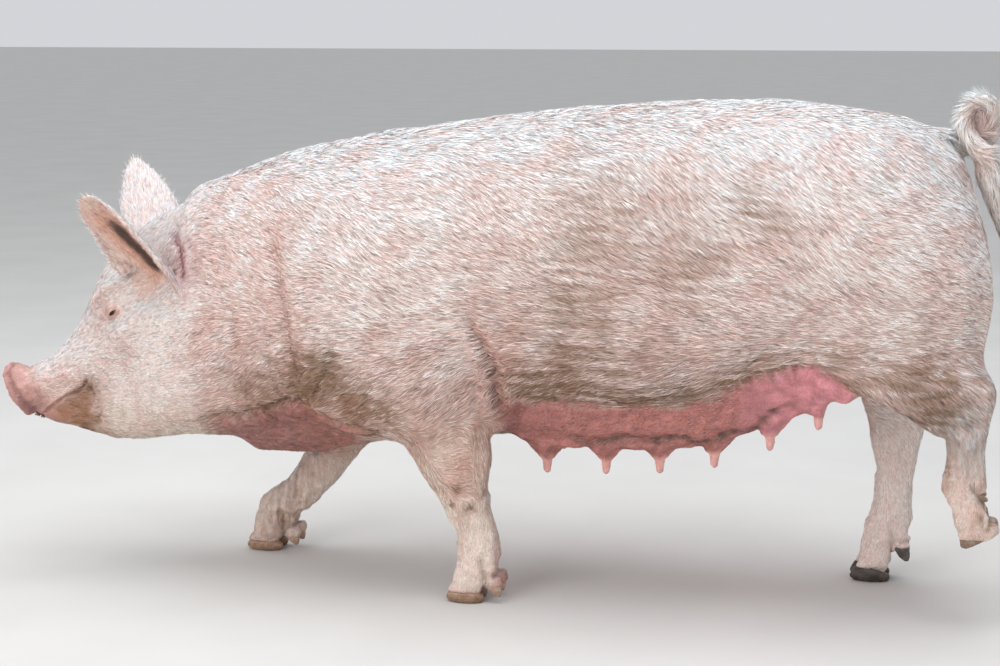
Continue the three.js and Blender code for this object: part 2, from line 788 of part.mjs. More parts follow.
piece(
  "ear_left",
  toSolid(
    ear({
      root: placed(fromHead, 44, 122, 32),
      tip: [243, -178, 712],
      open: [-0.42, -0.88, -0.2],
      thick: 7,
      stations: [
        { t: -0.08, wide: 30, deep: 30 },
        { t: 0.06, wide: 36, deep: 36 },
        { t: 0.22, wide: 38, deep: 36 },
        { t: 0.42, wide: 38, deep: 32 },
        { t: 0.62, wide: 38, deep: 26 },
        { t: 0.84, wide: 36, deep: 17 },
        { t: 0.97, wide: 23, deep: 8 },
        { t: 1, wide: 11, deep: 5 },
      ],
    }),
  ).subtract(headTrim),
  COLOUR.pink,
);
piece(
  "ear_right",
  toSolid(
    ear({
      root: placed(fromHead, 50, -96, 66),
      tip: [217, 150, 757],
      open: [-0.4, 0.88, 0.1],
      thick: 7,
      stations: [
        { t: -0.06, wide: 44, deep: 34 },
        { t: 0.08, wide: 50, deep: 38 },
        { t: 0.24, wide: 55, deep: 35 },
        { t: 0.42, wide: 57, deep: 30 },
        { t: 0.6, wide: 51, deep: 24 },
        { t: 0.76, wide: 39, deep: 17 },
        { t: 0.88, wide: 25, deep: 11 },
        { t: 0.96, wide: 13, deep: 6.5 },
        { t: 1, wide: 5.5, deep: 4.5 },
      ],
    }),
  ).subtract(headTrim),
  COLOUR.pink,
);

// ---------------------------------------------------------------- tail
// The tail curls once, from its root round behind itself, and then hangs. Each point has a radius.
const TAIL = [
  [1738, 0, 822, 26],
  [1780, 12, 812, 18],
  [1813, 18, 820, 14.5],
  [1832, 12, 850, 13],
  [1823, 2, 880, 13],
  [1802, -6, 891, 12.5],
  [1783, -13, 876, 12.5],
  [1777, -20, 849, 13],
  [1790, -25, 820, 14],
  [1811, -25, 798, 17],
  [1823, -18, 764, 22],
  [1841, -8, 720, 22],
  [1856, -2, 676, 17],
  [1866, 0, 636, 8],
];
const tailLine = new THREE.CatmullRomCurve3(TAIL.map(([x, y, z]) => new THREE.Vector3(x, y, z)));
const tailRadius = curve(TAIL.map((_, i) => i / (TAIL.length - 1)), TAIL.map((p) => p[3]));
function tailPiece(from, to, steps) {
  const frames = [...Array(steps + 1).keys()].map((i) => {
    const t = from + ((to - from) * i) / steps;
    const along = tailLine.getTangent(t);
    const side = new THREE.Vector3(0, 1, 0).addScaledVector(along, -along.y).normalize();
    return { t, centre: tailLine.getPoint(t), side, up: along.clone().cross(side) };
  });
  const rings = frames.map(({ t, centre, side, up }) =>
    ring(6, (c, s) => {
      const r = 1.05 * tailRadius(t);
      return centre.clone().addScaledVector(side, r * c).addScaledVector(up, r * s).toArray();
    }),
  );
  return loft(rings, fan);
}
const knot = (i) => i / (TAIL.length - 1);
const sliver = 0.0005; // the tail's cuts, as a share of its length
piece(
  "tail_root",
  toSolid(tailPiece(0, knot(2), 4)).subtract(toSolid(grown(trunkSurface, GAP))),
  COLOUR.skin,
);
piece("tail_curl", tailPiece(knot(2) + sliver, knot(9), 13), COLOUR.skin);
piece("tail_tip", tailPiece(knot(9) + sliver, 1, 5), COLOUR.skin);

// ---------------------------------------------------------------- legs and hooves
// The coronet, where hoof meets flesh, slopes from the front of the toe to the heel.
const CORONET = { front: -43, rear: 11 };
const coronetSlope = (TOE.high - TOE.heelHigh) / (CORONET.rear - CORONET.front);
const coronetAt = (x) => TOE.high - (x - CORONET.front) * coronetSlope;
const toeTrim = (name, frame) => {
  const pitch = THREE.MathUtils.radToDeg(Math.atan(coronetSlope));
  const plane = frameAt([CORONET.front, 0, soleOf(name) + TOE.high], pitch);
  return box([-90, -70, -90], [66, 70, 0], 0, plane.premultiply(frame));
};
const dewclawFrame = (name, frame, side) =>
  frameAt([DEWCLAW.back, side * DEWCLAW.apart, dewclawTop(name)], -DEWCLAW.lean).premultiply(frame);
const dewclawTrim = (name, frame, side) =>
  box([-14, -24, -80], [50, 24, 0], 0, dewclawFrame(name, frame, side));

function hoof(name, frame, side) {
  const sole = soleOf(name);
  const outline = (front, rear, wide, height) => {
    const [middle, long] = [(front + rear) / 2, (rear - front) / 2];
    return ring(10, (c, s) => {
      const x = middle + long * c;
      const taper = c < 0 ? 1 - 0.28 * c * c : 1;
      return placed(frame, x, side * TOE.apart + wide * taper * s, sole + height(x));
    });
  };
  const rings = [
    outline(TOE.front + 7, TOE.heel - 3, TOE.half - 2, () => 0),
    outline(TOE.front, TOE.heel, TOE.half, () => 7),
    outline(TOE.front + 8, TOE.heel, TOE.half + 0.5, (x) => mix(7, coronetAt(x), 0.5)),
    outline(CORONET.front, CORONET.rear, TOE.half - 0.5, (x) => coronetAt(x) - GAP),
  ];
  return loft(rings, fan);
}

function dewclaw(name, frame, side) {
  const place = dewclawFrame(name, frame, side);
  const rings = [
    [-GAP, 14, 12, 0],
    [-10, 14, 12, 0],
    [-23, 11, 9.5, 1],
    [-DEWCLAW.long, 4, 4, 3],
  ].map(([z, long, wide, back]) => ring(6, (c, s) => placed(place, back + long * c, wide * s, z)));
  return loft(rings, fan);
}

for (const { name, frame, side } of legs) {
  const [[x0, y0], [x1, y1, top]] = LEG_ROOM[name];
  const [upper, lower] = LEG_CUTS[name];
  const room = legRoom(name, -half);
  const trims = [toeTrim(name, frame), ...both((s) => dewclawTrim(name, frame, s))];
  const [x2, x3] = LOWER_LEG[name];
  const between = (low, high) => box([x2, y0, low + half], [x3, y1, high - half]);
  const [y2, y3] = side < 0 ? [-280, -20] : [20, 280];
  const mesh = (x, low, high, cell) =>
    flesh([x[0] - 60, y2, low - 60], [x[1] + 60, y3, high + 60], [cell, cell, cell]);
  const thigh = mesh([x0, x1], upper, top, 47)
    .intersect(room)
    .intersect(box([x0 - 100, y0, upper + half], [x1 + 100, y1, top]));
  piece(`${name}_upper`, without(thigh, udderRoom(half), ...groins), COLOUR.skin);
  const shank = mesh([x2, x3], lower, upper, 34).intersect(between(lower, upper));
  piece(`${name}_shank`, without(shank, ...groins), COLOUR.skin);
  const foot = mesh([x2, x3], 0, lower, 26).intersect(between(-60, lower));
  piece(`${name}_foot`, without(foot, ...trims), COLOUR.skin);
  const horn = isFore(name) ? COLOUR.paleHorn : COLOUR.darkHorn;
  for (const s of [-1, 1]) {
    const where = s === side ? "outer" : "inner";
    piece(`${name}_toe_${where}`, hoof(name, frame, s), horn, 0.6);
    piece(`${name}_dewclaw_${where}`, dewclaw(name, frame, s), horn, 0.6);
  }
}

export default model;
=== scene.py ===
# A full-grown white sow, walking. One skin covers all the flesh, pale bristles lie over it in tufts,
# and the eyes and hooves stay separate. Metres, +Z up, head towards -X, the sow's left towards -Y.
import math

import bmesh
import bpy
import numpy as np
from mathutils import Matrix, Vector
from mathutils.bvhtree import BVHTree


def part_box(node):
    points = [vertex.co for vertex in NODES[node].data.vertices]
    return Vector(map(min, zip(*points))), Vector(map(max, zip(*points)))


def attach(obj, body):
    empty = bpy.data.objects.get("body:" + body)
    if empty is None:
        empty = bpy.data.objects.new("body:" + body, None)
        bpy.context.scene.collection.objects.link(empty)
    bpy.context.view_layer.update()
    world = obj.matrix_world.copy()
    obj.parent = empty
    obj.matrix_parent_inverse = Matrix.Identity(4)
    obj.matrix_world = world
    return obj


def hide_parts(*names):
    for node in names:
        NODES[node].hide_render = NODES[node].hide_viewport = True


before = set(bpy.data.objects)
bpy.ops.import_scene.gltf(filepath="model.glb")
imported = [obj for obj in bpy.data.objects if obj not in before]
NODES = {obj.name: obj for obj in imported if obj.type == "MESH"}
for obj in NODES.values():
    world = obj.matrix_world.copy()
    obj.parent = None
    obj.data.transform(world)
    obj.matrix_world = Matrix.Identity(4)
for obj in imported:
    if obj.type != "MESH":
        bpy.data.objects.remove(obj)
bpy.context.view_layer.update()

HORN = sorted(n for n in NODES if "_toe_" in n or "_dewclaw_" in n)
EYES = ["eye_left", "eye_right"]
FLESH = sorted(n for n in NODES if n not in HORN and n not in EYES)
COVERED = FLESH + EYES + HORN
RNG = np.random.default_rng(7)

# ------------------------------------------------------------------ body and head coordinates
# Body coordinates are millimetres: x runs from just ahead of the nose towards the tail, y towards
# the sow's right and z up from the floor. Head coordinates are s forward along the face, y to the
# sow's left and h up from the face.
NOSE_AHEAD = 0.0355
ORIGIN = np.array([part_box("snout")[0].x - NOSE_AHEAD, 0.0, 0.0])
HEAD_AT = np.array([400.0, 0.0, 520.0])
HEAD_PITCH = math.radians(28)
HEAD_TURN = math.radians(14)
HEAD_AXES = np.array(
    Matrix.Rotation(math.pi + HEAD_TURN, 3, "Z") @ Matrix.Rotation(HEAD_PITCH, 3, "Y")
)


def to_body(co):
    return (np.asarray(co, float) - ORIGIN) * 1000


def from_body(b):
    return np.asarray(b, float) / 1000 + ORIGIN


def to_head(b):
    return (b - HEAD_AT) @ HEAD_AXES


def from_head(h):
    return np.asarray(h, float) @ HEAD_AXES.T + HEAD_AT


def centre(node):
    low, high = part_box(node)
    return np.array((low + high) / 2)


# ------------------------------------------------------------------ small maths
def smooth(low, high, x):
    t = np.clip((x - low) / (high - low), 0, 1)
    return t * t * (3 - 2 * t)


def mix(a, b, t):
    return a + (b - a) * t


def unit(v):
    return v / np.maximum(np.linalg.norm(v, axis=-1, keepdims=True), 1e-9)


def bell(x, width=1):
    """1 at 0, down to nearly nothing at twice the width."""
    return np.exp(-((x / width) ** 2))


def waves(p, wavelength, seed, count=10):
    """Smooth noise of about -1 to 1 at points p, made of sine waves in random directions."""
    rng = np.random.default_rng(seed)
    directions = unit(rng.normal(size=(count, 3)))
    numbers = 2 * math.pi / (wavelength * rng.uniform(0.6, 1.6, count))
    phases = rng.uniform(0, 2 * math.pi, count)
    return np.sin(p @ (directions * numbers[:, None]).T + phases).sum(1) / math.sqrt(count / 2)


def to_line(p, line):
    """How far points p are from a line through points of as many dimensions, and along it."""
    best = np.full(len(p), 1e9)
    along = np.zeros(len(p))
    line = np.asarray(line, float)
    for i in range(len(line) - 1):
        a, e = line[i], line[i + 1] - line[i]
        t = np.clip((p - a) @ e / (e @ e), 0, 1)
        d = np.linalg.norm(p - a - t[:, None] * e, axis=1)
        nearer = d < best
        best[nearer] = d[nearer]
        along[nearer] = (i + t[nearer]) / (len(line) - 1)
    return best, along


# ------------------------------------------------------------------ meshes
def coordinates(mesh):
    co = np.empty(len(mesh.vertices) * 3, np.float32)
    mesh.vertices.foreach_get("co", co)
    return co.reshape(-1, 3).astype(float)


def set_coordinates(mesh, co):
    mesh.vertices.foreach_set("co", np.asarray(co, np.float32).ravel())
    mesh.update()


def normals(mesh):
    n = np.empty(len(mesh.vertices) * 3, np.float32)
    mesh.vertex_normals.foreach_get("vector", n)
    return n.reshape(-1, 3).astype(float)


def triangles(mesh):
    mesh.calc_loop_triangles()
    t = np.empty(len(mesh.loop_triangles) * 3, np.int32)
    mesh.loop_triangles.foreach_get("vertices", t)
    return t.reshape(-1, 3)


def made_mesh(name, shell):
    """The bmesh as a mesh. The bmesh itself goes."""
    mesh = bpy.data.meshes.new(name)
    shell.to_mesh(mesh)
    shell.free()
    return mesh


def shade_smooth(mesh):
    mesh.polygons.foreach_set("use_smooth", [True] * len(mesh.polygons))


def new_object(name, mesh):
    obj = bpy.data.objects.new(name, mesh)
    bpy.context.scene.collection.objects.link(obj)
    return obj


def applied(obj):
    """The object's mesh with its modifiers applied. The object itself goes."""
    graph = bpy.context.evaluated_depsgraph_get()
    mesh = bpy.data.meshes.new_from_object(obj.evaluated_get(graph))
    bpy.data.objects.remove(obj)
    return mesh


def joined(names, grow=0.0):
    """The CAD nodes as one mesh of closed shells, pushed out a little so that neighbours meet."""
    whole = bmesh.new()
    for name in names:
        shell = bmesh.new()
        shell.from_mesh(NODES[name].data)
        bmesh.ops.remove_doubles(shell, verts=shell.verts, dist=1e-6)
        shell.normal_update()
        for v in shell.verts:
            v.co += grow * v.normal
        part = made_mesh(name, shell)
        whole.from_mesh(part)
        bpy.data.meshes.remove(part)
    mesh = made_mesh("joined", whole)
    mesh.materials.clear()
    return mesh


def remeshed(mesh, voxel):
    obj = new_object("remesh", mesh)
    modifier = obj.modifiers.new("remesh", "REMESH")
    modifier.mode = "VOXEL"
    modifier.voxel_size = voxel
    return applied(obj)


def diffused(mesh, values, speed, rounds):
    """Values at a mesh's vertices, evened out along its surface at a speed from 0 to 1."""
    values = np.asarray(values, float)
    flat = values.ndim == 1
    if flat:
        values = np.stack([values] * 3, 1)
    work = new_object("diffuse", mesh.copy())
    set_coordinates(work.data, values)
    group = work.vertex_groups.new(name="speed")
    steps = 64
    level = np.clip(np.broadcast_to(speed, len(values)) ** 0.5, 0, 1)
    level = np.round(level * steps).astype(int)
    for k in np.unique(level):
        group.add(np.nonzero(level == k)[0].tolist(), (k / steps) ** 2, "REPLACE")
    modifier = work.modifiers.new("smooth", "SMOOTH")
    modifier.factor = 0.9
    modifier.iterations = rounds
    modifier.vertex_group = "speed"
    result = applied(work)
    out = coordinates(result)
    bpy.data.meshes.remove(result)
    return out[:, 0] if flat else out


# ------------------------------------------------------------------ the skin's form
VOXEL = 0.0033
# How far the solids are pushed out so that neighbours meet, in metres.
GROW = 0.0004
# How far, in millimetres, each part's facets are evened out, and then the tail's root and its
# start, and the teats.
EVENING = {"neck": 30, "chest": 34, "abdomen": 36, "rump": 33, "udder": 13, "head": 17, "snout": 6}
EVENING |= {"jaw": 12, "ear": 3.2, "tail": 5.5, "upper": 23, "shank": 15, "foot": 10, "eye": 15}
EVENING |= {"toe": 5.5, "dewclaw": 5}
EVENING_TAIL_ROOT, EVENING_TAIL_START, EVENING_TEATS = 10, 20, 3.5
# The coat's depth over each part, in millimetres.
DEPTH = {"neck": 3.5, "chest": 4, "abdomen": 4, "rump": 4, "udder": 1, "head": 2.2, "snout": 0.6}
DEPTH |= {"jaw": 1.5, "ear": 0.8, "tail": 1.2, "upper": 2.5, "shank": 1.2, "foot": 0.6, "eye": 2}
DEPTH |= {"toe": -0.8, "dewclaw": -0.8}
# How far it takes the two to change from one part to the next, in metres.
CHANGE = 0.011
# The most that a point is lifted back to its depth at once, in millimetres.
LIFT = 12
# The skin covers each hoof from its top down to shares of its height, and then dives into the horn
# by DIVE millimetres.
DIVE = 6.5
CORONET = {"fore": (0.38, 0.56), "hind_right": (0.12, 0.3), "hind_left": (0.5, 0.7)}
# The lifted foot's dewclaws are tucked in behind it.
TUCKED = ["hind_left_dewclaw_inner", "hind_left_dewclaw_outer"]


def kind_of(name):
    """The word of a node's name that says what it is a part of."""
    return [w for w in name.split("_") if w in EVENING][-1]


def coronet(name):
    return next(v for leg, v in CORONET.items() if name.startswith(leg))


def body_box(node):
    """A node's box in body coordinates."""
    low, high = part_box(node)
    return to_body(low), to_body(high)


def nearest_nodes(co):
    """The index in COVERED of the CAD node nearest to each point, and the depth under it."""
    points, faces, owner = [], [], []
    for k, name in enumerate(COVERED):
        mesh = NODES[name].data
        tris = triangles(mesh) + sum(len(p) for p in points)
        points.append(coordinates(mesh))
        faces.append(tris)
        owner += [k] * len(tris)
    tree = BVHTree.FromPolygons(np.concatenate(points).tolist(), np.concatenate(faces).tolist())
    owner = np.array(owner)
    found = [tree.find_nearest(Vector(p)) for p in co]
    index = owner[np.array([f[2] for f in found])]
    away = co - np.array([f[0] for f in found])
    outward = (away * np.array([f[1] for f in found])).sum(1)
    depth = np.linalg.norm(away, axis=1) * -np.sign(outward)
    return index, depth * 1000


def in_horn(b, index):
    """1 where the skin lies hidden inside a hoof."""
    hidden = np.zeros(len(b))
    for k, name in enumerate(COVERED):
        if name in HORN:
            low, high = body_box(name)
            on = index == k
            hidden[on] = smooth(*coronet(name), (high[2] - b[on, 2]) / (high[2] - low[2]))
    return hidden


def teat_tips():
    """The teats' tips, in body coordinates: the udder's points that are lowest within 40 mm."""
    b = to_body(coordinates(NODES["udder"].data))
    tips = []
    for p in b[b[:, 2] < 330]:
        close = np.hypot(b[:, 0] - p[0], b[:, 1] - p[1]) < 40
        if p[2] <= b[close, 2].min() + 1e-6 and all(np.hypot(*(p - q)[:2]) > 20 for q in tips):
            tips.append(p)
    return np.array(tips)


TEATS = teat_tips()


def near_teats(b, reach=26):
    """1 on the teats, down to 0 at reach away from them."""
    away = np.min(np.hypot(b[:, None, 0] - TEATS[:, 0], b[:, None, 1] - TEATS[:, 1]), axis=1)
    return (1 - smooth(12, reach, away)) * (b[:, 2] < 372)


# Each ear is a trough from root to tip that opens along face. Its sections have a half width, a
# depth and a shift sideways at shares of its length.
EARS = {
    "ear_left": {
        "root": from_head([44, 122, 32]),
        "tip": np.array([243, -178, 712]),
        "face": np.array([-0.42, -0.88, -0.2]),
        "share": [-0.1, 0.06, 0.22, 0.42, 0.62, 0.84, 0.93, 0.975, 1],
        "wide": [47, 50, 57, 51, 44, 36, 29, 21, 6],
        "deep": [30, 35, 35, 31, 25, 16, 10, 7, 4],
        "shift": [-13, -12, -13, -6, -2, 0, 0, 0, 0],
    },
    "ear_right": {
        "root": from_head([50, -96, 66]),
        "tip": np.array([217, 150, 757]),
        "face": np.array([-0.4, 0.88, 0.1]),
        "share": [-0.06, 0.08, 0.24, 0.42, 0.6, 0.76, 0.88, 0.96, 1],
        "wide": [43, 49, 54, 56, 50, 38, 24, 13, 4],
        "deep": [33, 37, 34, 29, 23, 16, 10, 6, 3.5],
        "shift": [0] * 9,
    },
}


def ear_axes(ear):
    axis = unit(ear["tip"] - ear["root"])
    face = unit(ear["face"] - axis * (axis @ ear["face"]))
    return axis, face, np.cross(axis, face)


def along_ear(ear, b):
    """The share of the ear's length that points are along it."""
    axis, _, _ = ear_axes(ear)
    return (b - ear["root"]) @ axis / np.linalg.norm(ear["tip"] - ear["root"])


def ear_form(ear, rings=44, round_=26):
    """An ear as a closed mesh, thick in its middle and thin at its rims."""
    _, face, across = ear_axes(ear)
    share = np.linspace(ear["share"][0], 1, rings)
    wide, deep = (np.interp(share, ear["share"], ear[row]) for row in ("wide", "deep"))
    for _ in range(3):
        for row in (wide, deep):
            row[1:-1] = (row[:-2] + 2 * row[1:-1] + row[2:]) / 4
    angle = np.radians(np.linspace(-92, 92, round_))
    points = []
    for t, w, d in zip(share, wide, deep):
        middle = mix(ear["root"], ear["tip"], t)
        middle = middle + across * np.interp(t, ear["share"], ear["shift"])
        for grow, order in ((2.8, 1), (-4.2, -1)):
            a = angle[::order, None]
            grown = grow * (0.62 + 0.38 * np.cos(a))
            out = across * (w + grown) * np.sin(a) - face * (d + grown) * np.cos(a)
            points.append(middle + out)
    n = 2 * round_
    faces = []
    for start in range(0, (rings - 1) * n, n):
        for i, j in zip(range(n), [*range(1, n), 0]):
            faces.append([start + i, start + j, start + n + j, start + n + i])
    for start in (0, (rings - 1) * n):
        for i in range(round_ - 1):
            faces.append([start + i, start + i + 1, start + n - 2 - i, start + n - 1 - i])
    shell = bmesh.new()
    vertices = [shell.verts.new(p) for p in from_body(np.concatenate(points))]
    for f in faces:
        shell.faces.new([vertices[i] for i in f])
    bmesh.ops.recalc_face_normals(shell, faces=shell.faces)
    return made_mesh("ear", shell)


# A teat and the mound it hangs from: radii and heights above its tip.
TEAT = [(0, 0), (4.5, 0.6), (6.3, 3), (6.7, 10), (8, 20), (10.5, 26), (14, 31), (20, 37), (28, 44)]
TEAT += [(36, 51), (44, 60), (48, 68), (0, 80)]


def teat_form(tip, around=20):
    """One teat as a closed mesh of revolution with its tip at tip (body coordinates)."""
    shell = bmesh.new()
    rings = []
    for r, z in TEAT:
        count = around if r else 1
        angles = [2 * math.pi * k / count for k in range(count)]
        points = [tip + np.array([r * math.cos(a), r * math.sin(a), z]) for a in angles]
        rings.append([shell.verts.new(from_body(p)) for p in points])
    for low, high in zip(rings, rings[1:]):
        for k in range(around):
            quad = [low[k % len(low)], low[(k + 1) % len(low)]]
            quad += [high[(k + 1) % len(high)], high[k % len(high)]]
            shell.faces.new(list(dict.fromkeys(quad)))
    bmesh.ops.recalc_face_normals(shell, faces=shell.faces)
    return made_mesh("teat", shell)


def settled_on(co, mesh, weight, reach=0.006):
    """Points moved onto a mesh's surface by their weight, where it is within reach of them."""
    tree = BVHTree.FromPolygons(coordinates(mesh).tolist(), [p.vertices[:] for p in mesh.polygons])
    out = co.copy()
    for i in np.nonzero(weight > 0)[0]:
        found = tree.find_nearest(Vector(co[i]), reach)
        if found[0] is not None:
            out[i] = mix(co[i], np.array(found[0]), weight[i])
    return out


# The middle of the curled tail's loop, x and z in body coordinates, and the half sizes of the web
# that closes it, in millimetres.
TAIL_LOOP = np.array([1804.0, 853.0])
WEB = np.array([24, 9, 37])
# The upper corner at the start of the tail's root, in body coordinates.
TAIL_START = np.array([1745.0, 0, 847.0])


def tail_web():
    """The turned-in skin that closes the loop of the tail, as a closed mesh."""
    shell = bmesh.new()
    bmesh.ops.create_icosphere(shell, subdivisions=4, radius=1)
    bmesh.ops.scale(shell, vec=WEB / 1000, verts=shell.verts)
    at = from_body([TAIL_LOOP[0], to_body(centre("tail_curl"))[1] + 5, TAIL_LOOP[1]])
    bmesh.ops.translate(shell, vec=Vector(at), verts=shell.verts)
    return made_mesh("web", shell)


def in_loop(b, reach=1.0):
    """1 in the middle of the tail's loop, down to 0 at its tube."""
    away = np.hypot(*((b[:, [0, 2]] - TAIL_LOOP) / (WEB[[0, 2]] * reach)).T)
    return 1 - smooth(0.55, 1.0, away)


def off_tail_start(b):
    return np.linalg.norm((b - TAIL_START)[:, [0, 2]], axis=1)


# Behind the last teats the udder's lower edge rises to the groin: x and z in body coordinates.
REAR_RISE = np.array([(1555, 348), (1559, 368), (1568, 384), (1580, 391), (1616, 400)], float)


def behind_teats(b, more=0):
    """Which points are on the udder's rear, up to the right thigh's front."""
    x, y, z = b.T
    across = (y > -175 - more) & (y < np.where(x < 1594, 155, 135) + more)
    return across & (x > 1555 - more) & (x < 1616 + more) & (z > 290)


def under_rise(b):
    """How far points behind the last teats hang under the udder's rear edge."""
    hang = np.clip(np.interp(b[:, 0], *REAR_RISE.T) - b[:, 2], 0, None)
    return np.where(behind_teats(b), hang, 0)


def body_form():
    """The flesh as one even surface, under the solids' surface by the coat's depth."""
    solids = [n for n in COVERED if not n.startswith("ear") and n not in TUCKED]
    ears = [ear_form(ear) for ear in EARS.values()]
    whole = bmesh.new()
    for part in [joined(solids, GROW), *ears, *map(teat_form, TEATS), tail_web()]:
        whole.from_mesh(part)
    mesh = made_mesh("flesh", whole)
    co = coordinates(mesh)
    co[:, 2] += under_rise(to_body(co)) / 1000
    set_coordinates(mesh, co)
    mesh = remeshed(mesh, VOXEL)
    co = coordinates(mesh)
    b = to_body(co)
    index, _ = nearest_nodes(co)
    evening, depth = (
        np.array([row[kind_of(n)] for n in COVERED], float)[index] for row in (EVENING, DEPTH)
    )
    evening[index == COVERED.index("tail_root")] = EVENING_TAIL_ROOT
    evening[off_tail_start(b) < 26] = EVENING_TAIL_START
    evening = mix(evening, EVENING_TEATS, near_teats(b))
    # Both change gradually.
    around = int((CHANGE / VOXEL) ** 2 * 2)
    evening = np.exp(diffused(mesh, np.log(evening), 1.0, around))
    depth = diffused(mesh, depth, 1.0, around) + DIVE * in_horn(b, index)
    widest = evening.max()
    rounds = int(2 * (widest / 1000 / VOXEL) ** 2 / 0.9)
    speed = (evening / widest) ** 2
    co = diffused(mesh, co, speed, rounds)
    set_coordinates(mesh, co)
    on_ear = np.array([kind_of(n) == "ear" for n in COVERED])[index]
    tucked = np.isin(index, [COVERED.index(n) for n in TUCKED])
    # The evening shrinks the flesh, so it is lifted back to its depth, except where it is the
    # scene's own form.
    for share in (1.0, 0.6):
        _, under = nearest_nodes(co)
        b = to_body(co)
        rear = behind_teats(b, 4) & (b[:, 2] < np.interp(b[:, 0], *REAR_RISE.T) + 22)
        kept = rear | on_ear | tucked | (off_tail_start(b) < 24) | (in_loop(b, 1.15) > 0)
        under[kept] = depth[kept]
        lift = np.clip(under - depth, -LIFT, LIFT)
        lift = diffused(mesh, lift, np.maximum(speed, 0.02), rounds // 3)
        co = co + share * normals(mesh) * lift[:, None] / 1000
        set_coordinates(mesh, co)
    for form, ear in zip(ears, EARS.values()):
        co = settled_on(co, form, on_ear * smooth(0.12, 0.3, along_ear(ear, to_body(co))))
    rise = under_rise(to_body(co))
    co[:, 2] += rise / 1000
    set_coordinates(mesh, co)
    raised = 0.9 * smooth(0, 3, diffused(mesh, rise, 1.0, 6))
    set_coordinates(mesh, diffused(mesh, co, raised, 8))
    return mesh


# ------------------------------------------------------------------ places on the body
# A fold with dark hairs and painted shade that runs over the mounds of the teats.
HAIRY_FOLD = [(1049, 320), (1106, 313), (1149, 291), (1219, 306), (1254, 301), (1306, 310)]
HAIRY_FOLD += [(1349, 297), (1385, 316), (1437, 324), (1467, 364), (1498, 374), (1541, 357)]
# Folds of the skin: depth, width, and a line in body coordinates (x, z) on each side. The sow's
# left side has them in full.
FOLDS = [
    (15, 13, [(400, 292), (467, 306), (524, 317), (586, 342), (646, 366), (690, 384)]),
    (9, 8, [(606, 352), (632, 352), (660, 340), (721, 313), (790, 298)]),
    (5, 9, HAIRY_FOLD),
    (7, 15, [(574, 665), (594, 606), (608, 520), (622, 430), (640, 388)]),
    (8, 13, [(718, 438), (684, 404), (655, 374)]),
    (17, 13, [(936, 552), (962, 496), (984, 452), (992, 418), (996, 372), (1002, 338)]),
    (4, 7, [(925, 412), (960, 400), (990, 388)]),
    (3.5, 7, [(915, 384), (950, 374), (988, 366)]),
    (3, 8, [(486, 568), (496, 525), (506, 478), (520, 430)]),
    (4, 9, [(474, 645), (490, 590), (504, 534), (513, 480), (514, 430)]),
    (2.5, 7, [(450, 640), (464, 590), (476, 545)]),
    (11, 10, [(1380, 398), (1432, 427), (1498, 447), (1545, 448), (1590, 425), (1615, 400)]),
    (4, 12, [(1040, 368), (1100, 366), (1177, 365), (1280, 368), (1365, 384)]),
    (4, 14, [(1500, 520), (1452, 470), (1405, 418)]),
    (3, 12, [(1450, 520), (1408, 470), (1365, 420)]),
    (4, 9, [(1680, 418), (1712, 409), (1746, 406), (1780, 428)]),
    (3, 9, [(1690, 448), (1730, 436), (1768, 452)]),
    (2.5, 9, [(1700, 478), (1742, 470), (1776, 486)]),
]
# Folds of the head's skin, in head coordinates (s, h): the slit behind the ear and the fold
# beside it, the lip's corner and the cheek behind it, and the creases round the eye.
HEAD_FOLDS = [
    (4.5, 6, [(-16, 118), (-20, 98), (-12, 78), (0, 52)]),
    (2.5, 7, [(-38, 120), (-40, 88), (-26, 48), (-14, 20)]),
    (5, 7, [(266, -35), (262, -58), (258, -77), (268, -100), (284, -124)]),
    (2, 9, [(240, -34), (228, -62), (222, -92)]),
    (2, 4, [(164, 24), (150, 15), (132, 15), (118, 24)]),
    (2, 5, [(172, 14), (152, 2), (128, 2), (108, 14)]),
    (1.6, 4, [(112, 60), (104, 46), (104, 30)]),
    (1.8, 5, [(170, 84), (150, 90), (124, 88), (108, 78)]),
]
MOUTH = [(374, -58), (356, -53), (330, -48), (312, -45), (288, -47), (270, -44), (257, -35)]


def groove(away, depth, width):
    """How far a fold moves the skin outwards, away from its line: a dip with raised sides."""
    t = away / width
    return depth * (0.35 * np.exp(-((t - 1.7) ** 2) / 0.6) - np.exp(-(t**2) / 0.35))


def faded(along):
    """A fold's strength along its line: it dies away at both ends."""
    return smooth(0, 0.16, along) * (1 - smooth(0.84, 1, along))


def plain_trunk(b):
    """1 where the trunk is plain and its mesh can be coarse."""
    x, y, z = b.T
    away = np.min([to_line(b[:, [0, 2]], line)[0] for _, _, line in FOLDS], axis=0)
    plain = smooth(60, 90, away) * smooth(560, 640, x) * smooth(400, 430, z)
    return plain * (1 - smooth(1690, 1720, x) * (np.abs(y) < 60))


def collapsed(mesh, count, where=None):
    """The mesh with about that many triangles, lost where its surface is flattest."""
    obj = new_object("collapse", mesh)
    modifier = obj.modifiers.new("collapse", "DECIMATE")
    modifier.ratio = count / len(triangles(mesh))
    if where is not None:
        group = obj.vertex_groups.new(name="where")
        group.add(np.nonzero(where)[0].tolist(), 1, "REPLACE")
        modifier.vertex_group = "where"
    return applied(obj)


def decimated(mesh, count):
    """The mesh with about that many triangles. The plain trunk loses the most."""
    plain = plain_trunk(to_body(coordinates(mesh))) > 0.5
    loss = 0.92 * plain[triangles(mesh)].all(1).sum()
    mesh = collapsed(mesh, len(triangles(mesh)) - loss, plain)
    return collapsed(mesh, count)


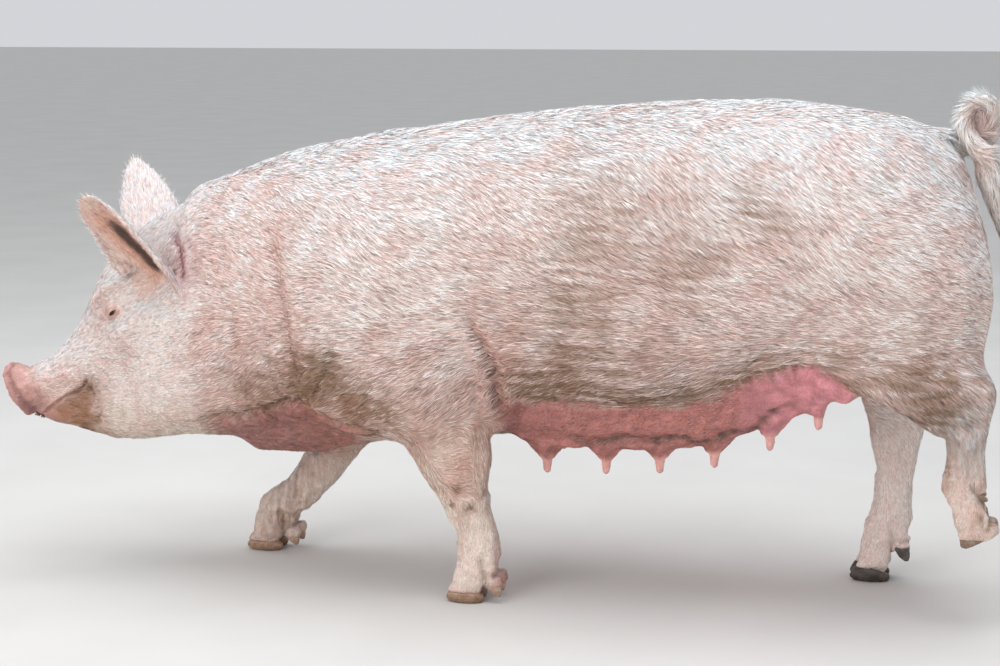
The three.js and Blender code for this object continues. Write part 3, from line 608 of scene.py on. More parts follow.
def refine(mesh, where, length):
    """Splits the edges longer than length at the vertices that where (body coordinates) picks."""
    work = bmesh.new()
    work.from_mesh(mesh)
    for _ in range(4):
        work.verts.ensure_lookup_table()
        chosen = where(to_body(np.array([v.co for v in work.verts])))
        edges = [e for e in work.edges if any(chosen[v.index] for v in e.verts)]
        edges = [e for e in edges if e.calc_length() > length]
        if not edges:
            break
        bmesh.ops.subdivide_edges(work, edges=edges, cuts=1, use_grid_fill=False)
        bmesh.ops.triangulate(work, faces=[f for f in work.faces if len(f.verts) > 3])
        work.verts.index_update()
    work.to_mesh(mesh)
    work.free()


EYE_AT = {name: to_body(centre(name)) for name in EYES}
EYE_RADIUS = float((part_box("eye_left")[1].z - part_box("eye_left")[0].z) * 500)
# The eye's slit: its slope down towards the snout, and its half length and half height.
SLIT_COS, SLIT_SIN = math.cos(0.22), math.sin(0.22)
SLIT_LONG, SLIT_HIGH = 8.2, 3.5
# How softly the lids' dome runs into the socket.
LID_BLEND = 5.0
# The lids' creases, above and below the slit: height and depth.
LID_CREASES = [(7.6, 0.9), (-6.8, 0.8), (-10.5, 0.7), (12.5, 0.8)]


def from_eyes(b):
    """How far points are from the nearer eye's centre."""
    return np.min([np.linalg.norm(b - at, axis=1) for at in EYE_AT.values()], axis=0)


def fine_places(b):
    """Round the eyes and along the mouth."""
    h = to_head(b)
    mouth, _ = to_line(h[:, [0, 2]], MOUTH)
    return (from_eyes(b) < 25) | ((mouth < 8) & (h[:, 0] > 250))


def finest_places(b):
    """The slits of the eyes."""
    return from_eyes(b) < 17


def move_along(co, direction, amount):
    return co + direction * amount[:, None] / 1000


def sculpt_eyes(co):
    """Lids that bulge over each eyeball and part in a slit, in a shallow socket."""
    b = to_body(co)
    h = to_head(b)
    for at in EYE_AT.values():
        e = to_head(at)
        side = np.sign(e[1])
        a, up, out = h[:, 0] - e[0], h[:, 2] - e[2], side * (h[:, 1] - e[1])
        rho = np.hypot(a, up)
        near = (rho < 46) & (out > -25)
        # The slit is an almond in a rolled margin.
        u = a * SLIT_COS - up * SLIT_SIN
        v = up * SLIT_COS + a * SLIT_SIN + 1.0
        half = np.clip(SLIT_HIGH * (1 - (np.abs(u) / SLIT_LONG) ** 2.2), 0, None)
        edge = near & (np.abs(np.abs(v) - half) < 0.45) & (np.abs(u) < 7.8)
        snap = np.where(edge, (half + 0.02) * np.sign(v) - v, 0)
        inside = (np.abs(v + snap) < half) & (np.abs(u) < SLIT_LONG)
        dome = np.sqrt(np.clip((EYE_RADIUS + 1.4) ** 2 - rho**2, 0, None))
        skin = out - 3.2 * bell(rho - 25, 9) * (0.6 - 0.4 * np.sign(up))
        blend = np.clip(0.5 + 0.5 * (dome - skin) / LID_BLEND, 0, 1)
        lids = mix(skin, dome, blend) + LID_BLEND * blend * (1 - blend)
        lids = np.where(rho < EYE_RADIUS + 6, lids, skin)
        lids = lids + 0.8 * bell(np.abs(v) - half - 0.5, 1.3) * (np.abs(u) < 9)
        for level, depth in LID_CREASES:
            bow = level * (1 - 0.35 * (u / 16) ** 2)
            lids = lids - depth * bell(v - bow, 0.8) * (1 - smooth(11, 18, np.abs(u)))
        inner = np.sqrt(np.clip(EYE_RADIUS**2 - rho**2, 0, None)) - 4.0
        lids = np.where(inside, inner, lids)
        shift = np.where(near, lids - out, 0) * (1 - smooth(36, 46, rho))
        slide = np.outer(snap * SLIT_SIN, HEAD_AXES[:, 0])
        slide += np.outer(snap * SLIT_COS, HEAD_AXES[:, 2])
        co = co + (np.outer(shift * side, HEAD_AXES[:, 1]) + slide) / 1000
    return co


def sculpt_mouth(co, n):
    """A cut between two rolled lips."""
    h = to_head(to_body(co))
    s, y, up = h.T
    away, along = to_line(h[:, [0, 2]], MOUTH)
    front = (s > 245) & (np.abs(y) < 75)
    low = up < np.interp(s, [257, 288, 330, 374], [-35, -47, -48, -58])
    lip = 2.2 * bell(away - 5, 3.5) * np.where(low, 0.7, 1.2)
    cut = -3.8 * bell(away, 2.8)
    strength = front * (1 - smooth(0.93, 1, along) * 0.7) * smooth(0, 0.14, along)
    return move_along(co, n, strength * (lip + cut))


def sculpt_folds(co, n):
    b = to_body(co)
    h = to_head(b)
    left = b[:, 1] < -25
    side = (np.abs(n[:, 1]) > 0.12) & (np.abs(b[:, 1]) > 25) & (b[:, 0] > 380)
    for depth, width, line in FOLDS:
        away, along = to_line(b[:, [0, 2]], line)
        amount = groove(away + 1.5 * waves(b, 30, 11), depth, width)
        co = move_along(co, n, amount * faded(along) * side * np.where(left, 1, 0.7))
    here = (np.abs(h[:, 1]) > 40) & (np.abs(h[:, 1]) < 190) & (b[:, 0] < 520)
    for depth, width, line in HEAD_FOLDS:
        away, along = to_line(h[:, [0, 2]], line)
        amount = groove(away + 0.8 * waves(b, 14, 12), depth, width)
        co = move_along(co, n, amount * faded(along) * here)
    return co


def disc_plane(h):
    """How far forward the snout's disc stands at a height, in head coordinates."""
    return np.interp(h, [-40, 4, 42, 57], [395, 400, 399, 377])


# Places of the left legs that are fuller, or less full, than the solids: x, z and radius in body
# coordinates, how far they swell, and the way they face, 1 to the back.
SWELLS = [(982, 264, 48, 12, 1), (1836, 412, 46, 12, 1), (1757, 274, 22, -5, -1)]


def sculpt_swells(co, n):
    b = to_body(co)
    for x, z, radius, rise, facing in SWELLS:
        near = bell(np.hypot(b[:, 0] - x, b[:, 2] - z), radius) * (b[:, 1] < -60)
        co = move_along(co, n, rise * near * smooth(-0.2, 0.6, facing * n[:, 0]))
    return co


def sculpt_snout(co, n):
    """Cross wrinkles behind the disc, a groove round it and a firmer rim."""
    b = to_body(co)
    s, y, h = to_head(b).T
    on = (np.hypot(y, h) < 90) & (s > 250)
    wrinkle = np.sin((s + 3 * waves(b, 30, 21)) * 2 * math.pi / 13) * smooth(285, 300, s)
    wrinkle *= (1 - smooth(345, 356, s)) * smooth(0, 20, h + 30)
    behind = disc_plane(h) - s
    ring = -5.2 * bell(behind - 17, 6) * (1 - 0.45 * smooth(15, 50, h))
    ring += 1.5 * bell(behind - 6, 4)
    pores = 0.25 * waves(b, 4.5, 23, 14) * (behind < 4)
    return move_along(co, n, on * (0.9 * wrinkle + ring * (s > 335) + pores))


# The clefts between each outer toe and its dewclaw, x and z in body coordinates.
CLEFTS = {
    "fore_left": [(962, 78), (969, 48), (969, 0)],
    "fore_right": [(512, 80), (517, 48), (517, 0)],
    "hind_right": [(1676, 108), (1683, 72), (1684, 30)],
    "hind_left": [(1806, 252), (1826, 222), (1850, 196)],
}


def cleft_shade(b):
    """1 in the clefts beside the dewclaws."""
    dark = np.zeros(len(b))
    for leg, line in CLEFTS.items():
        middle = to_body(centre(leg + "_foot"))[1]
        away, _ = to_line(b[:, [0, 2]], line)
        off = np.abs(b[:, 1] - middle)
        side = smooth(9, 16, off) * (off < 60)
        dark = np.maximum(dark, bell(away, 5.0) * side)
    return dark


def sculpt_feet(co, n):
    """The clefts between the toes and beside the dewclaws, and wrinkles across each pastern."""
    b = to_body(co)
    x, y, z = b.T
    for leg in CLEFTS:
        toes = to_body((centre(leg + "_toe_inner") + centre(leg + "_toe_outer")) / 2)
        (_, _, bottom), (_, _, top) = body_box(leg + "_foot")
        here = (np.abs(x - toes[0]) < 110) & (np.abs(y - toes[1]) < 60) & (z < top + 60)
        height = (z - bottom) / (top - bottom)
        cleft = -7.5 * bell(y - toes[1], 4.2) * (1 - smooth(0.35, 0.75, height))
        level = z + 0.35 * (x - toes[0])
        wrinkle = np.sin(level * 2 * math.pi / 15 + 0.8 * waves(b, 40, 31)) * 0.8
        wrinkle *= smooth(0.25, 0.5, height) * (1 - smooth(0.9, 1.3, height))
        co = move_along(co, n, here * (cleft + wrinkle))
        for claw in ("_toe_outer", "_toe_inner", "_dewclaw_outer", "_dewclaw_inner"):
            # Each digit swells over its horn.
            low, high = body_box(leg + claw)
            away = (b - (low + high) / 2) / ((high - low) * 0.75)
            away = np.hypot(away[:, 0], away[:, 1])
            rise = (z - high[2]) / 16
            swell = 2.6 * bell(rise + 0.2) * (1 - smooth(0.8, 1.3, away))
            co = move_along(co, n, swell)
    return move_along(co, n, -6.5 * cleft_shade(b))


def sculpt_fine(co, n):
    """Low unevenness of flesh and hide all over, finer on the head and udder."""
    b = to_body(co)
    head = 1 - smooth(430, 520, b[:, 0])
    bare = near_teats(b, 60)
    uneven = 1.1 * waves(b, 120, 41) * (1 - head) + 0.5 * waves(b, 45, 42)
    hide = 0.28 * waves(b, 13, 43, 14) * np.maximum(head * 1.2, 0.5)
    return move_along(co, n, (uneven + hide) * (1 - bare) + 0.25 * bare * waves(b, 7, 44, 12))


def sculpted(mesh):
    for step in (sculpt_folds, sculpt_swells, sculpt_feet, sculpt_snout, sculpt_mouth, sculpt_fine):
        set_coordinates(mesh, step(coordinates(mesh), normals(mesh)))
    set_coordinates(mesh, sculpt_eyes(coordinates(mesh)))


def unwrapped(mesh):
    """Lays the skin out on a UV map named OFBake, in islands cut by the directions of its faces."""
    obj = new_object("unwrap", mesh)
    mesh.uv_layers.new(name="OFBake")
    bpy.context.view_layer.objects.active = obj
    obj.select_set(True)
    bpy.ops.object.mode_set(mode="EDIT")
    bpy.ops.mesh.select_all(action="SELECT")
    bpy.ops.uv.smart_project(angle_limit=math.radians(75), island_margin=0.001)
    bpy.ops.object.mode_set(mode="OBJECT")
    bpy.data.objects.remove(obj)


SKIN_TRIANGLES = 145000
skin_mesh = decimated(body_form(), SKIN_TRIANGLES)
refine(skin_mesh, fine_places, 0.0015)
refine(skin_mesh, finest_places, 0.0008)
unwrapped(skin_mesh)
sculpted(skin_mesh)
shade_smooth(skin_mesh)


# ------------------------------------------------------------------ colours
def rgb(*shares):
    return np.array(shares, float)


# Colours are linear.
PALE = rgb(0.84, 0.66, 0.61)
PINK = rgb(0.72, 0.40, 0.35)
# The colour of mud, also used for painted shade in creases, clefts and under the upper lip.
MUD_AND_SHADE = rgb(0.27, 0.165, 0.095)
CREAM = rgb(0.97, 0.91, 0.88)
# Bluish white of painted sky light, for the coat where it faces up.
SKY_LIT_WHITE = rgb(0.79, 0.88, 0.94)
ROSY = rgb(0.87, 0.63, 0.585)
UDDER_PINK = rgb(0.53, 0.21, 0.185)
UDDER_REAR_PINK = rgb(0.71, 0.295, 0.325)
TEAT_PINK = rgb(0.90, 0.52, 0.47)
DEWLAP_RED = rgb(0.36, 0.135, 0.105)
DEWLAP_MAUVE = rgb(0.31, 0.125, 0.115)
DISC_PINK = rgb(0.56, 0.29, 0.26)
SNOUT_TAN = rgb(0.50, 0.275, 0.24)
DISC_GROOVE_SHADE = rgb(0.24, 0.115, 0.115)
EAR_WHITE = rgb(0.74, 0.80, 0.88)
EAR_RIM = rgb(0.80, 0.62, 0.54)
EAR_TAN = rgb(0.72, 0.42, 0.32)
EAR_DARK_AND_SHADE = rgb(0.06, 0.024, 0.014)
SLIT_RED = rgb(0.30, 0.07, 0.085)
MAUVE = rgb(0.60, 0.42, 0.43)
SHORT_DARK = rgb(0.15, 0.085, 0.065)
LOOP_MAUVE = rgb(0.50, 0.32, 0.30)
CHIN_BROWN = rgb(0.30, 0.14, 0.068)
# What the hair's colour is multiplied by on the legs, on the near hock as painted shade, and in grey
# strands.
LEG_TINT = rgb(1, 0.97, 0.89)
HOCK_SHADE_TINT = rgb(0.74, 0.86, 0.93)
GREY_TINT = rgb(0.62, 0.55, 0.5)
# kind: length and width of a tuft (mm), tufts' density, and shares of pink and mud.
COAT = {
    "neck": (19, 1.05, 1.05, 0.48, 0.07),
    "chest": (22, 1.15, 1.0, 0.36, 0.05),
    "abdomen": (22, 1.15, 1.0, 0.42, 0.05),
    "rump": (19, 1.1, 1.05, 0.36, 0.05),
    "udder": (12, 0.7, 0.5, 0.9, 0.1),
    "head": (11, 0.7, 2.3, 0.05, 0.0),
    "snout": (6, 0.5, 1.0, 0.68, 0.1),
    "jaw": (12, 0.7, 1.6, 0.45, 0.3),
    "ear": (13, 0.7, 1.5, 0.08, 0.02),
    "tail": (28, 1.0, 2.6, 0.08, 0.02),
    "upper": (17, 0.95, 1.25, 0.3, 0.15),
    "shank": (10, 0.7, 2.3, 0.08, 0.06),
    "foot": (8, 0.6, 2.5, 0.1, 0.06),
    "toe": (7, 0.6, 2.5, 0.22, 0.1),
    "dewclaw": (7, 0.6, 2.5, 0.2, 0.1),
    "eye": (6, 0.5, 1.2, 0.6, 0.2),
}
# Stained places of each side, and painted shade and light on the far legs: x, z and radius in body
# coordinates, and the mud's share.
LEFT_STAINS = [
    (1462, 704, 34, 0.42), (1412, 736, 28, 0.36), (1050, 400, 50, 0.5), (690, 412, 34, 0.6),
    (676, 407, 26, 0.45), (747, 375, 22, 0.6), (724, 350, 34, 0.45), (772, 338, 34, 0.45),
    (245, 300, 34, 0.25), (1240, 392, 120, 0.16), (1580, 460, 40, 0.3), (1120, 470, 70, 0.2),
    (560, 345, 70, 0.46), (640, 394, 45, 0.7), (1190, 635, 180, 0.32), (1700, 430, 95, 0.36),
    (1775, 370, 80, 0.2), (880, 330, 90, 0.12), (1842, 200, 21, 0.9), (1836, 240, 16, 0.7),
    (916, 214, 6, 0.8), (912, 188, 6, 0.8), (944, 182, 8, 0.9),
]
# The far foreleg gets dirt and painted shade, and the far hind leg, with a share below 0, painted
# light.
RIGHT_DIRT_AND_PAINTED_LIGHT = [(500, 120, 100, 0.36), (1650, 220, 110, -0.12)]
STAINS_AND_PAINTED_LIGHT = [(*stain, -1) for stain in LEFT_STAINS] + [(*stain, 1) for stain in RIGHT_DIRT_AND_PAINTED_LIGHT]
# The upper edge of the bare udder: x and z in body coordinates.
BARE_EDGE = [(1011, 372), (1072, 366), (1177, 365), (1280, 366), (1365, 381), (1380, 398)]
BARE_EDGE += [(1432, 427), (1498, 447), (1540, 450), (1582, 428), (1610, 405), (1640, 385)]
BARE_EDGE = np.array(BARE_EDGE, float)


def above_edge(b):
    """How far points are above the bare udder's upper edge."""
    return b[:, 2] - np.interp(b[:, 0], *BARE_EDGE.T) + 4 * waves(b, 28, 58)


def bare_udder(b):
    """1 on the bare belly and udder."""
    span = smooth(975, 1015, b[:, 0]) * (1 - smooth(1598, 1622, b[:, 0]))
    return span * (1 - smooth(-7, 9, above_edge(b)))


# The upper edge of the bare dewlap, in the same way.
DEWLAP_EDGE = [(400, 288), (467, 298), (524, 312), (591, 336), (628, 352), (656, 339), (721, 313)]
DEWLAP_EDGE = np.array(DEWLAP_EDGE + [(786, 298)], float)


def bare_dewlap(b):
    """1 on the dewlap, under its folds."""
    x, y, z = b.T
    under = 1 - smooth(-8, 5, z - np.interp(x, *DEWLAP_EDGE.T) + 3 * waves(b, 22, 67))
    below = (z > 226) & ((y < 60) | (z > 300))
    return below * under * smooth(400, 480, x) * (1 - smooth(700, 760, x))


def ear_places(ear, b):
    """Each point's share of the ear's length, its place across it, and its half width there."""
    _, _, across = ear_axes(ear)
    t = along_ear(ear, b)
    a = (b - ear["root"]) @ across - np.interp(t, ear["share"], ear["shift"])
    return t, a, np.interp(t, ear["share"], ear["wide"])


def ear_inside(b, n):
    """1 on the inner face of each ear, and how near its channel's middle and its rim points are."""
    inside, channel, rims = np.zeros((3, len(b)))
    for ear in EARS.values():
        _, face, _ = ear_axes(ear)
        t, a, wide = ear_places(ear, b)
        middle = a + np.interp(t, ear["share"], ear["shift"])
        off = (b - ear["root"]) @ face
        deep = np.interp(t, ear["share"], ear["deep"])
        near = (np.abs(a) < wide + 6) * (off < 12) * smooth(-deep - 9, -deep - 3, off)
        inner = near * smooth(0.02, 0.2, t) * (t < 1.04) * smooth(0.05, 0.45, n @ face)
        rim = smooth(0.7, 1.0, np.abs(a) / wide)
        inside = np.maximum(inside, inner * (1 - 0.85 * rim))
        # The channel's middle is dark skin with painted shade.
        dark = bell(middle, 15) * (1 - smooth(0.6, 0.86, t)) * smooth(0.08, 0.26, t)
        # A small pocket in the rear rim's foot, darkened with painted shade.
        pocket = bell(a - 0.72 * wide, 3.5) * smooth(0.02, 0.06, t) * (1 - smooth(0.15, 0.2, t))
        channel = np.maximum(channel, np.maximum(inner * dark, 0.8 * pocket * near))
        pale = np.maximum(smooth(18, 42, np.abs(middle)), smooth(0.72, 0.96, t))
        rims = np.maximum(rims, pale * inner)
    return inside, channel, rims


def streaks(b, seed):
    """Noise drawn out along the lie of the coat: backwards on the trunk, down on the legs."""
    leg = 1 - smooth(330, 420, b[:, 2])
    back = waves(b * [0.16, 1, 1] + b[:, [2]] * [0.05, 0, 0.18], 15, seed)
    down = waves(b * [1, 1, 0.16], 13, seed + 1)
    return mix(back, down, leg)


def shades(b, n, pink, darkening):
    """The hide's and the coat's colours at points of the skin."""
    x, y, z = b.T
    h = to_head(b)
    s, _, up = h.T
    left = y < 0
    # Painted sky light: where the skin faces up it is less pink and its coat bluish white.
    above = smooth(-0.1, 0.9, n[:, 2])
    low = (1 - smooth(340, 560, z)) * smooth(420, 560, x)
    blotch, streak = waves(b, 90, 51), streaks(b, 53)
    pink = pink + 0.2 * low * (z > 200) - 0.3 * above + 0.12 * blotch + 0.06 * streak
    darkening = darkening + 0.1 * low * (1 + 0.8 * streak) * smooth(250, 330, z) + 0.03 * blotch
    # Stains, and painted shade and painted light on the far legs.
    for sx, sz, radius, share, side in STAINS_AND_PAINTED_LIGHT:
        away = np.hypot(x - sx, z - sz) / radius + 0.25 * waves(b, radius * 0.9, 55)
        darkening = darkening + share * bell(away) * (1 + 0.4 * streak) * (y * side > 0)
    # Grey-brown hair fringes the bare udder.
    fringe = bell(above_edge(b) - 18, 20) * smooth(1000, 1060, x) * (1 - smooth(1400, 1560, x))
    darkening = darkening + 0.55 * fringe * (0.8 + 0.6 * streak)
    # Painted shade under the upper lip along the mouth, dark hair at the mouth's corner, the chin,
    # and round the eyes.
    mouth, _ = to_line(h[:, [0, 2]], MOUTH)
    chin = (1 - smooth(198, 226, x + 5 * waves(b, 25, 64))) * (1 - smooth(-68, -42, up))
    lips = 0.55 * bell(mouth, 7) * (1 - 0.65 * smooth(285, 350, s))
    lips = lips + 0.6 * bell(np.hypot(s - 262, up + 50), 18)
    darkening = darkening + lips * (s > 235) + 0.2 * chin
    eye = from_eyes(b)
    darkening = darkening + 0.22 * bell(eye, 21) * (1 + 0.5 * waves(b, 9, 57))
    pink = pink + 0.12 * bell(eye, 24)
    side = np.abs(n[:, 1]) > 0.1
    # Folds and creases get painted shade along them, and pinker skin.
    for places, folds in ((b, FOLDS), (h, HEAD_FOLDS)):
        for depth, width, line in folds:
            away, along = to_line(places[:, [0, 2]], line)
            dark = bell(away, width) * faded(along) * min(depth / 12, 1) * side
            darkening = darkening + 0.22 * dark
            pink = pink + 0.5 * bell(away, width * 1.8) * dark
    # The skin behind the elbow and on the nose is pink.
    snout_side = np.hypot(h[:, 1], up) < 95
    elbow = bell(np.hypot((x - 1012) / 30, (z - 430) / 55))
    pink = pink + 0.5 * elbow + 0.36 * smooth(250, 300, s) * snout_side
    darkening = darkening + 0.4 * cleft_shade(b)
    pink, darkening = np.clip(pink, 0, 1)[:, None], np.clip(darkening, 0, 0.92)[:, None]
    # The darkening mixes it in: dirt and stains, and painted shade in folds, clefts and under the
    # upper lip.
    hide = mix(mix(PALE, PINK, pink), MUD_AND_SHADE, darkening * 0.8)
    # The coat is cream, bluish white with painted sky light where it faces up, and rosy where the
    # skin is pink.
    coat = mix(mix(CREAM, SKY_LIT_WHITE, above[:, None]), ROSY, np.clip(pink * 1.1, 0, 1))
    coat = mix(coat, MUD_AND_SHADE * 1.1, darkening)

    def lay(colour, share, lighter=1.0, on_hide=1.0, on_coat=1.0):
        """Mixes a colour into the hide and, mostly lighter, into the coat."""
        nonlocal hide, coat
        hide = mix(hide, colour, on_hide * share[:, None])
        coat = mix(coat, colour * lighter, on_coat * share[:, None])

    lay(CHIN_BROWN, chin * (0.7 + 0.13 * waves(b, 22, 65) + 0.1 * waves(b, 7, 66)), 1.1)
    # The legs are warmer, the near hock greyer with painted shade, and the far hind leg paler with
    # painted light.
    coat = coat * mix(1, LEG_TINT, 1 - smooth(250, 400, z)[:, None])
    # Painted shade on the near hock: greyer and bluer.
    hock = bell(np.hypot(x - 1795, z - 335), 75) * left * smooth(220, 280, z)
    coat = coat * mix(1, HOCK_SHADE_TINT, hock[:, None])
    # Painted light: the far hind leg, in the body's shade, is made paler.
    far = (0.75 * smooth(1540, 1600, x) * (y > 60) * (1 - smooth(360, 430, z)))[:, None]
    hide, coat = mix(hide, PALE, far), mix(coat, CREAM * 1.06, far)
    # Red-brown dirt on the breast behind the dewlap.
    lay(CHIN_BROWN, 0.45 * bell(np.hypot((x - 712) / 62, (z - 350) / 26)) * left, 1.3)
    # The bare udder with its teats and hairy fold, and the dewlap.
    shade = (1 - 0.3 * bell(x - 1010, 45))[:, None]
    udder = mix(UDDER_PINK * shade, UDDER_REAR_PINK, smooth(1370, 1480, x)[:, None])
    udder = udder * (1 + 0.1 * waves(b, 16, 59))[:, None]
    tips = near_teats(b, 18) * (1 - smooth(20, 46, z - np.interp(x, TEATS_X, TEATS_Z)))
    udder = mix(udder, TEAT_PINK, 0.85 * tips[:, None])
    # Along the hairy fold the udder darkens: dark hairs, and painted shade in the fold.
    away, along = to_line(b[:, [0, 2]], HAIRY_FOLD)
    fold_hairs_and_shade = bell(away, 9) * faded(along) * (1 + 0.4 * waves(b, 20, 63)) * left
    udder = mix(udder, SHORT_DARK, np.clip(0.62 * fold_hairs_and_shade, 0, 1)[:, None])
    bare = bare_udder(b)[:, None]
    hide = mix(hide, udder, bare)
    coat = mix(coat, mix(udder * 1.15, CREAM * 0.8, 0.25), bare)
    tone = 1 + 0.17 * waves(b, 14, 60) + 0.14 * waves(b * [0.35, 1, 1], 6, 69)
    dewlap = mix(DEWLAP_MAUVE, DEWLAP_RED, smooth(560, 680, x)[:, None]) * tone[:, None]
    lay(dewlap, bare_dewlap(b), 1.3, 0.85, 0.75)
    # The snout's side and disc, and painted shade in the groove behind the disc, wider low down.
    behind = disc_plane(up) - s
    front = snout_side * (s > 300)
    zone = front * smooth(8, 18, behind) * (1 - smooth(38, 66, behind))
    lay(SNOUT_TAN, 0.62 * zone * (1 + 0.2 * waves(b, 15, 68)), 1.15)
    lay(DISC_PINK, (1 - smooth(7, 14, behind)) * snout_side)
    lay(DISC_GROOVE_SHADE, bell(behind - 16, 11.5 - 5 * smooth(-45, 15, up)) * front, 1, 0.75, 0.6)
    lay(LOOP_MAUVE, 0.6 * in_loop(b) * (x > 1700), 1.15)
    # The ears' insides, dark skin and painted shade down their channels, the far ear's back and the
    # folded skin behind the near ear.
    inside, channel, rims = ear_inside(b, n)
    channel = smooth(0.1, 0.85, channel)
    ear = mix(mix(EAR_TAN, EAR_RIM, rims[:, None]), EAR_DARK_AND_SHADE, channel[:, None])
    inside = np.maximum(inside, channel)
    lay(ear, 0.95 * inside, 1.15)
    far_ear = 0.6 * smooth(560, 640, z) * (x < 330) * (y > 40) * (1 - inside)
    coat = mix(coat, EAR_WHITE, far_ear[:, None])
    outer = (np.abs(h[:, 1]) > 60) * (s < 30) * (s > -90) * (1 - inside)
    slit, _ = to_line(h[:, [0, 2]], HEAD_FOLDS[0][2])
    lay(MAUVE, bell(slit, 26) * outer, 1, 0.7, 0.45)
    lay(SLIT_RED, bell(slit, 4) * outer, 1, 0.85, 0.8)
    return hide, coat


TEATS_X, TEATS_Z = TEATS[np.argsort(TEATS[:, 0])][:, [0, 2]].T


# ------------------------------------------------------------------ materials
def fill(tree, made, inputs):
    """Sets a node's inputs, each to a value or to a socket to link from."""
    for key, value in inputs.items():
        if isinstance(value, bpy.types.NodeSocket):
            tree.links.new(value, made.inputs[key])
        else:
            made.inputs[key].default_value = value


def node(tree, kind, inputs, **settings):
    made = tree.nodes.new(kind)
    for key, value in settings.items():
        setattr(made, key, value)
    fill(tree, made, inputs)
    return made


def material(name):
    made = bpy.data.materials.new(name)
    made.use_nodes = True
    return made, made.node_tree, made.node_tree.nodes["Principled BSDF"]


def noise(tree, place, scale, detail, roughness=0.5):
    inputs = {"Vector": place, "Scale": scale, "Detail": detail, "Roughness": roughness}
    return node(tree, "ShaderNodeTexNoise", inputs).outputs["Fac"]


def object_noise(tree, scale, detail, roughness=0.5):
    place = node(tree, "ShaderNodeTexCoord", {}).outputs["Object"]
    return noise(tree, place, scale, detail, roughness)


def attribute(tree, name, output="Color"):
    return node(tree, "ShaderNodeAttribute", {}, attribute_name=name).outputs[output]


def ramp(tree, value, *stops):
    """A colour ramp. Each stop is a place and a colour, or a place and a grey."""
    made = node(tree, "ShaderNodeValToRGB", {"Fac": value})
    for k, (at, *colour) in enumerate(stops):
        stop = made.color_ramp.elements[k] if k < 2 else made.color_ramp.elements.new(at)
        stop.position = at
        stop.color = (*colour, 1) if len(colour) == 3 else (*colour * 3, 1)
    return made.outputs["Color"]


def times(tree, a, b, share=1.0):
    inputs = {"Factor": share, 6: a, 7: b}
    made = node(tree, "ShaderNodeMix", inputs, data_type="RGBA", blend_type="MULTIPLY")
    return made.outputs[2]


def bump(tree, height, strength, distance, before=None):
    inputs = {"Height": height, "Strength": strength, "Distance": distance}
    if before is not None:
        inputs["Normal"] = before
    return node(tree, "ShaderNodeBump", inputs).outputs["Normal"]


def hide_material():
    """Thin-haired hide: mottled flesh with pores, fine creases and a faint grease."""
    made, tree, shader = material("hide")
    mottle = ramp(tree, object_noise(tree, 55, 5), (0.3, 0.80, 0.74, 0.72), (0.72, 1.1))
    speck = ramp(tree, object_noise(tree, 420, 3), (0.36, 0.72, 0.62, 0.58), (0.52, 1))
    grease = ramp(tree, object_noise(tree, 35, 4), (0.3, 0.42), (0.7, 0.62))
    pores = bump(tree, object_noise(tree, 900, 3), 0.35, 0.0006)
    inputs = {
        "Base Color": times(tree, times(tree, attribute(tree, "Hide"), mottle), speck, 0.6),
        "Roughness": grease,
        "Normal": bump(tree, object_noise(tree, 160, 5, 0.6), 0.4, 0.0016, pores),
        "Subsurface Weight": 0.12,
        "Subsurface Scale": 0.004,
        "Specular IOR Level": 0.4,
    }
    fill(tree, shader, inputs)
    return made


def coat_material():
    """Pale bristles: each tuft has its own shade from the mesh, with fine lengthwise strands."""
    made, tree, shader = material("bristles")
    strands = ramp(tree, object_noise(tree, 1300, 2), (0.3, 0.82, 0.80, 0.78), (0.6, 1.04))
    inputs = {
        "Base Color": times(tree, attribute(tree, "Coat"), strands),
        "Roughness": ramp(tree, object_noise(tree, 240, 2), (0.3, 0.38), (0.7, 0.58)),
        "Normal": bump(tree, object_noise(tree, 1800, 1), 0.3, 0.0003),
        "Specular IOR Level": 0.35,
    }
    fill(tree, shader, inputs)
    return made


def horn_material(name, light, dark):
    """Hoof horn in fine upright grain and level growth rings, muddied near the ground."""
    made, tree, shader = material(name)
    place = node(tree, "ShaderNodeTexCoord", {}).outputs["Object"]

    def stretched(scale, detail):
        at = node(tree, "ShaderNodeMapping", {"Vector": place, "Scale": scale}).outputs[0]
        return noise(tree, at, 1.0, detail)

    grain, rings = stretched((900, 900, 90), 4.0), stretched((25, 25, 420), 2.0)
    base = ramp(tree, object_noise(tree, 60, 5), (0.32, *dark), (0.68, *light))
    stripes = ramp(tree, grain, (0.35, 0.62, 0.58, 0.54), (0.65, 1.1))
    height = node(tree, "ShaderNodeSeparateXYZ", {"Vector": place}).outputs["Z"]
    darkening = ramp(tree, height, (0.0, 0.5, 0.4, 0.3), (0.03, 1))
    inputs = {
        "Base Color": times(tree, times(tree, base, stripes), darkening),
        "Roughness": ramp(tree, grain, (0.3, 0.38), (0.7, 0.6)),
        "Normal": bump(tree, rings, 0.6, 0.0016, bump(tree, grain, 0.4, 0.0005)),
    }
    fill(tree, shader, inputs)
    return made


def eye_material():
    """A wet dark eye with a streaked brown iris round a black pupil."""
    made, tree, shader = material("eye")
    iris, streak = attribute(tree, "Iris", "Fac"), object_noise(tree, 900, 3)
    inputs = {0: iris, 1: streak, 2: iris}
    place = node(tree, "ShaderNodeMath", inputs, operation="MULTIPLY_ADD").outputs[0]
    stops = [(0.0, 0.004, 0.003, 0.003), (0.42, 0.006, 0.004, 0.004), (0.5, 0.055, 0.024, 0.012)]
    stops += [(0.8, 0.02, 0.009, 0.006), (0.95, 0.25, 0.12, 0.10)]
    inputs = {
        "Base Color": ramp(tree, place, *stops),
        "Roughness": ramp(tree, streak, (0.0, 0.05), (1.0, 0.12)),
        "Coat Weight": 0.12,
        "Coat Roughness": 0.03,
        "Specular IOR Level": 0.3,
    }
    fill(tree, shader, inputs)
    return made


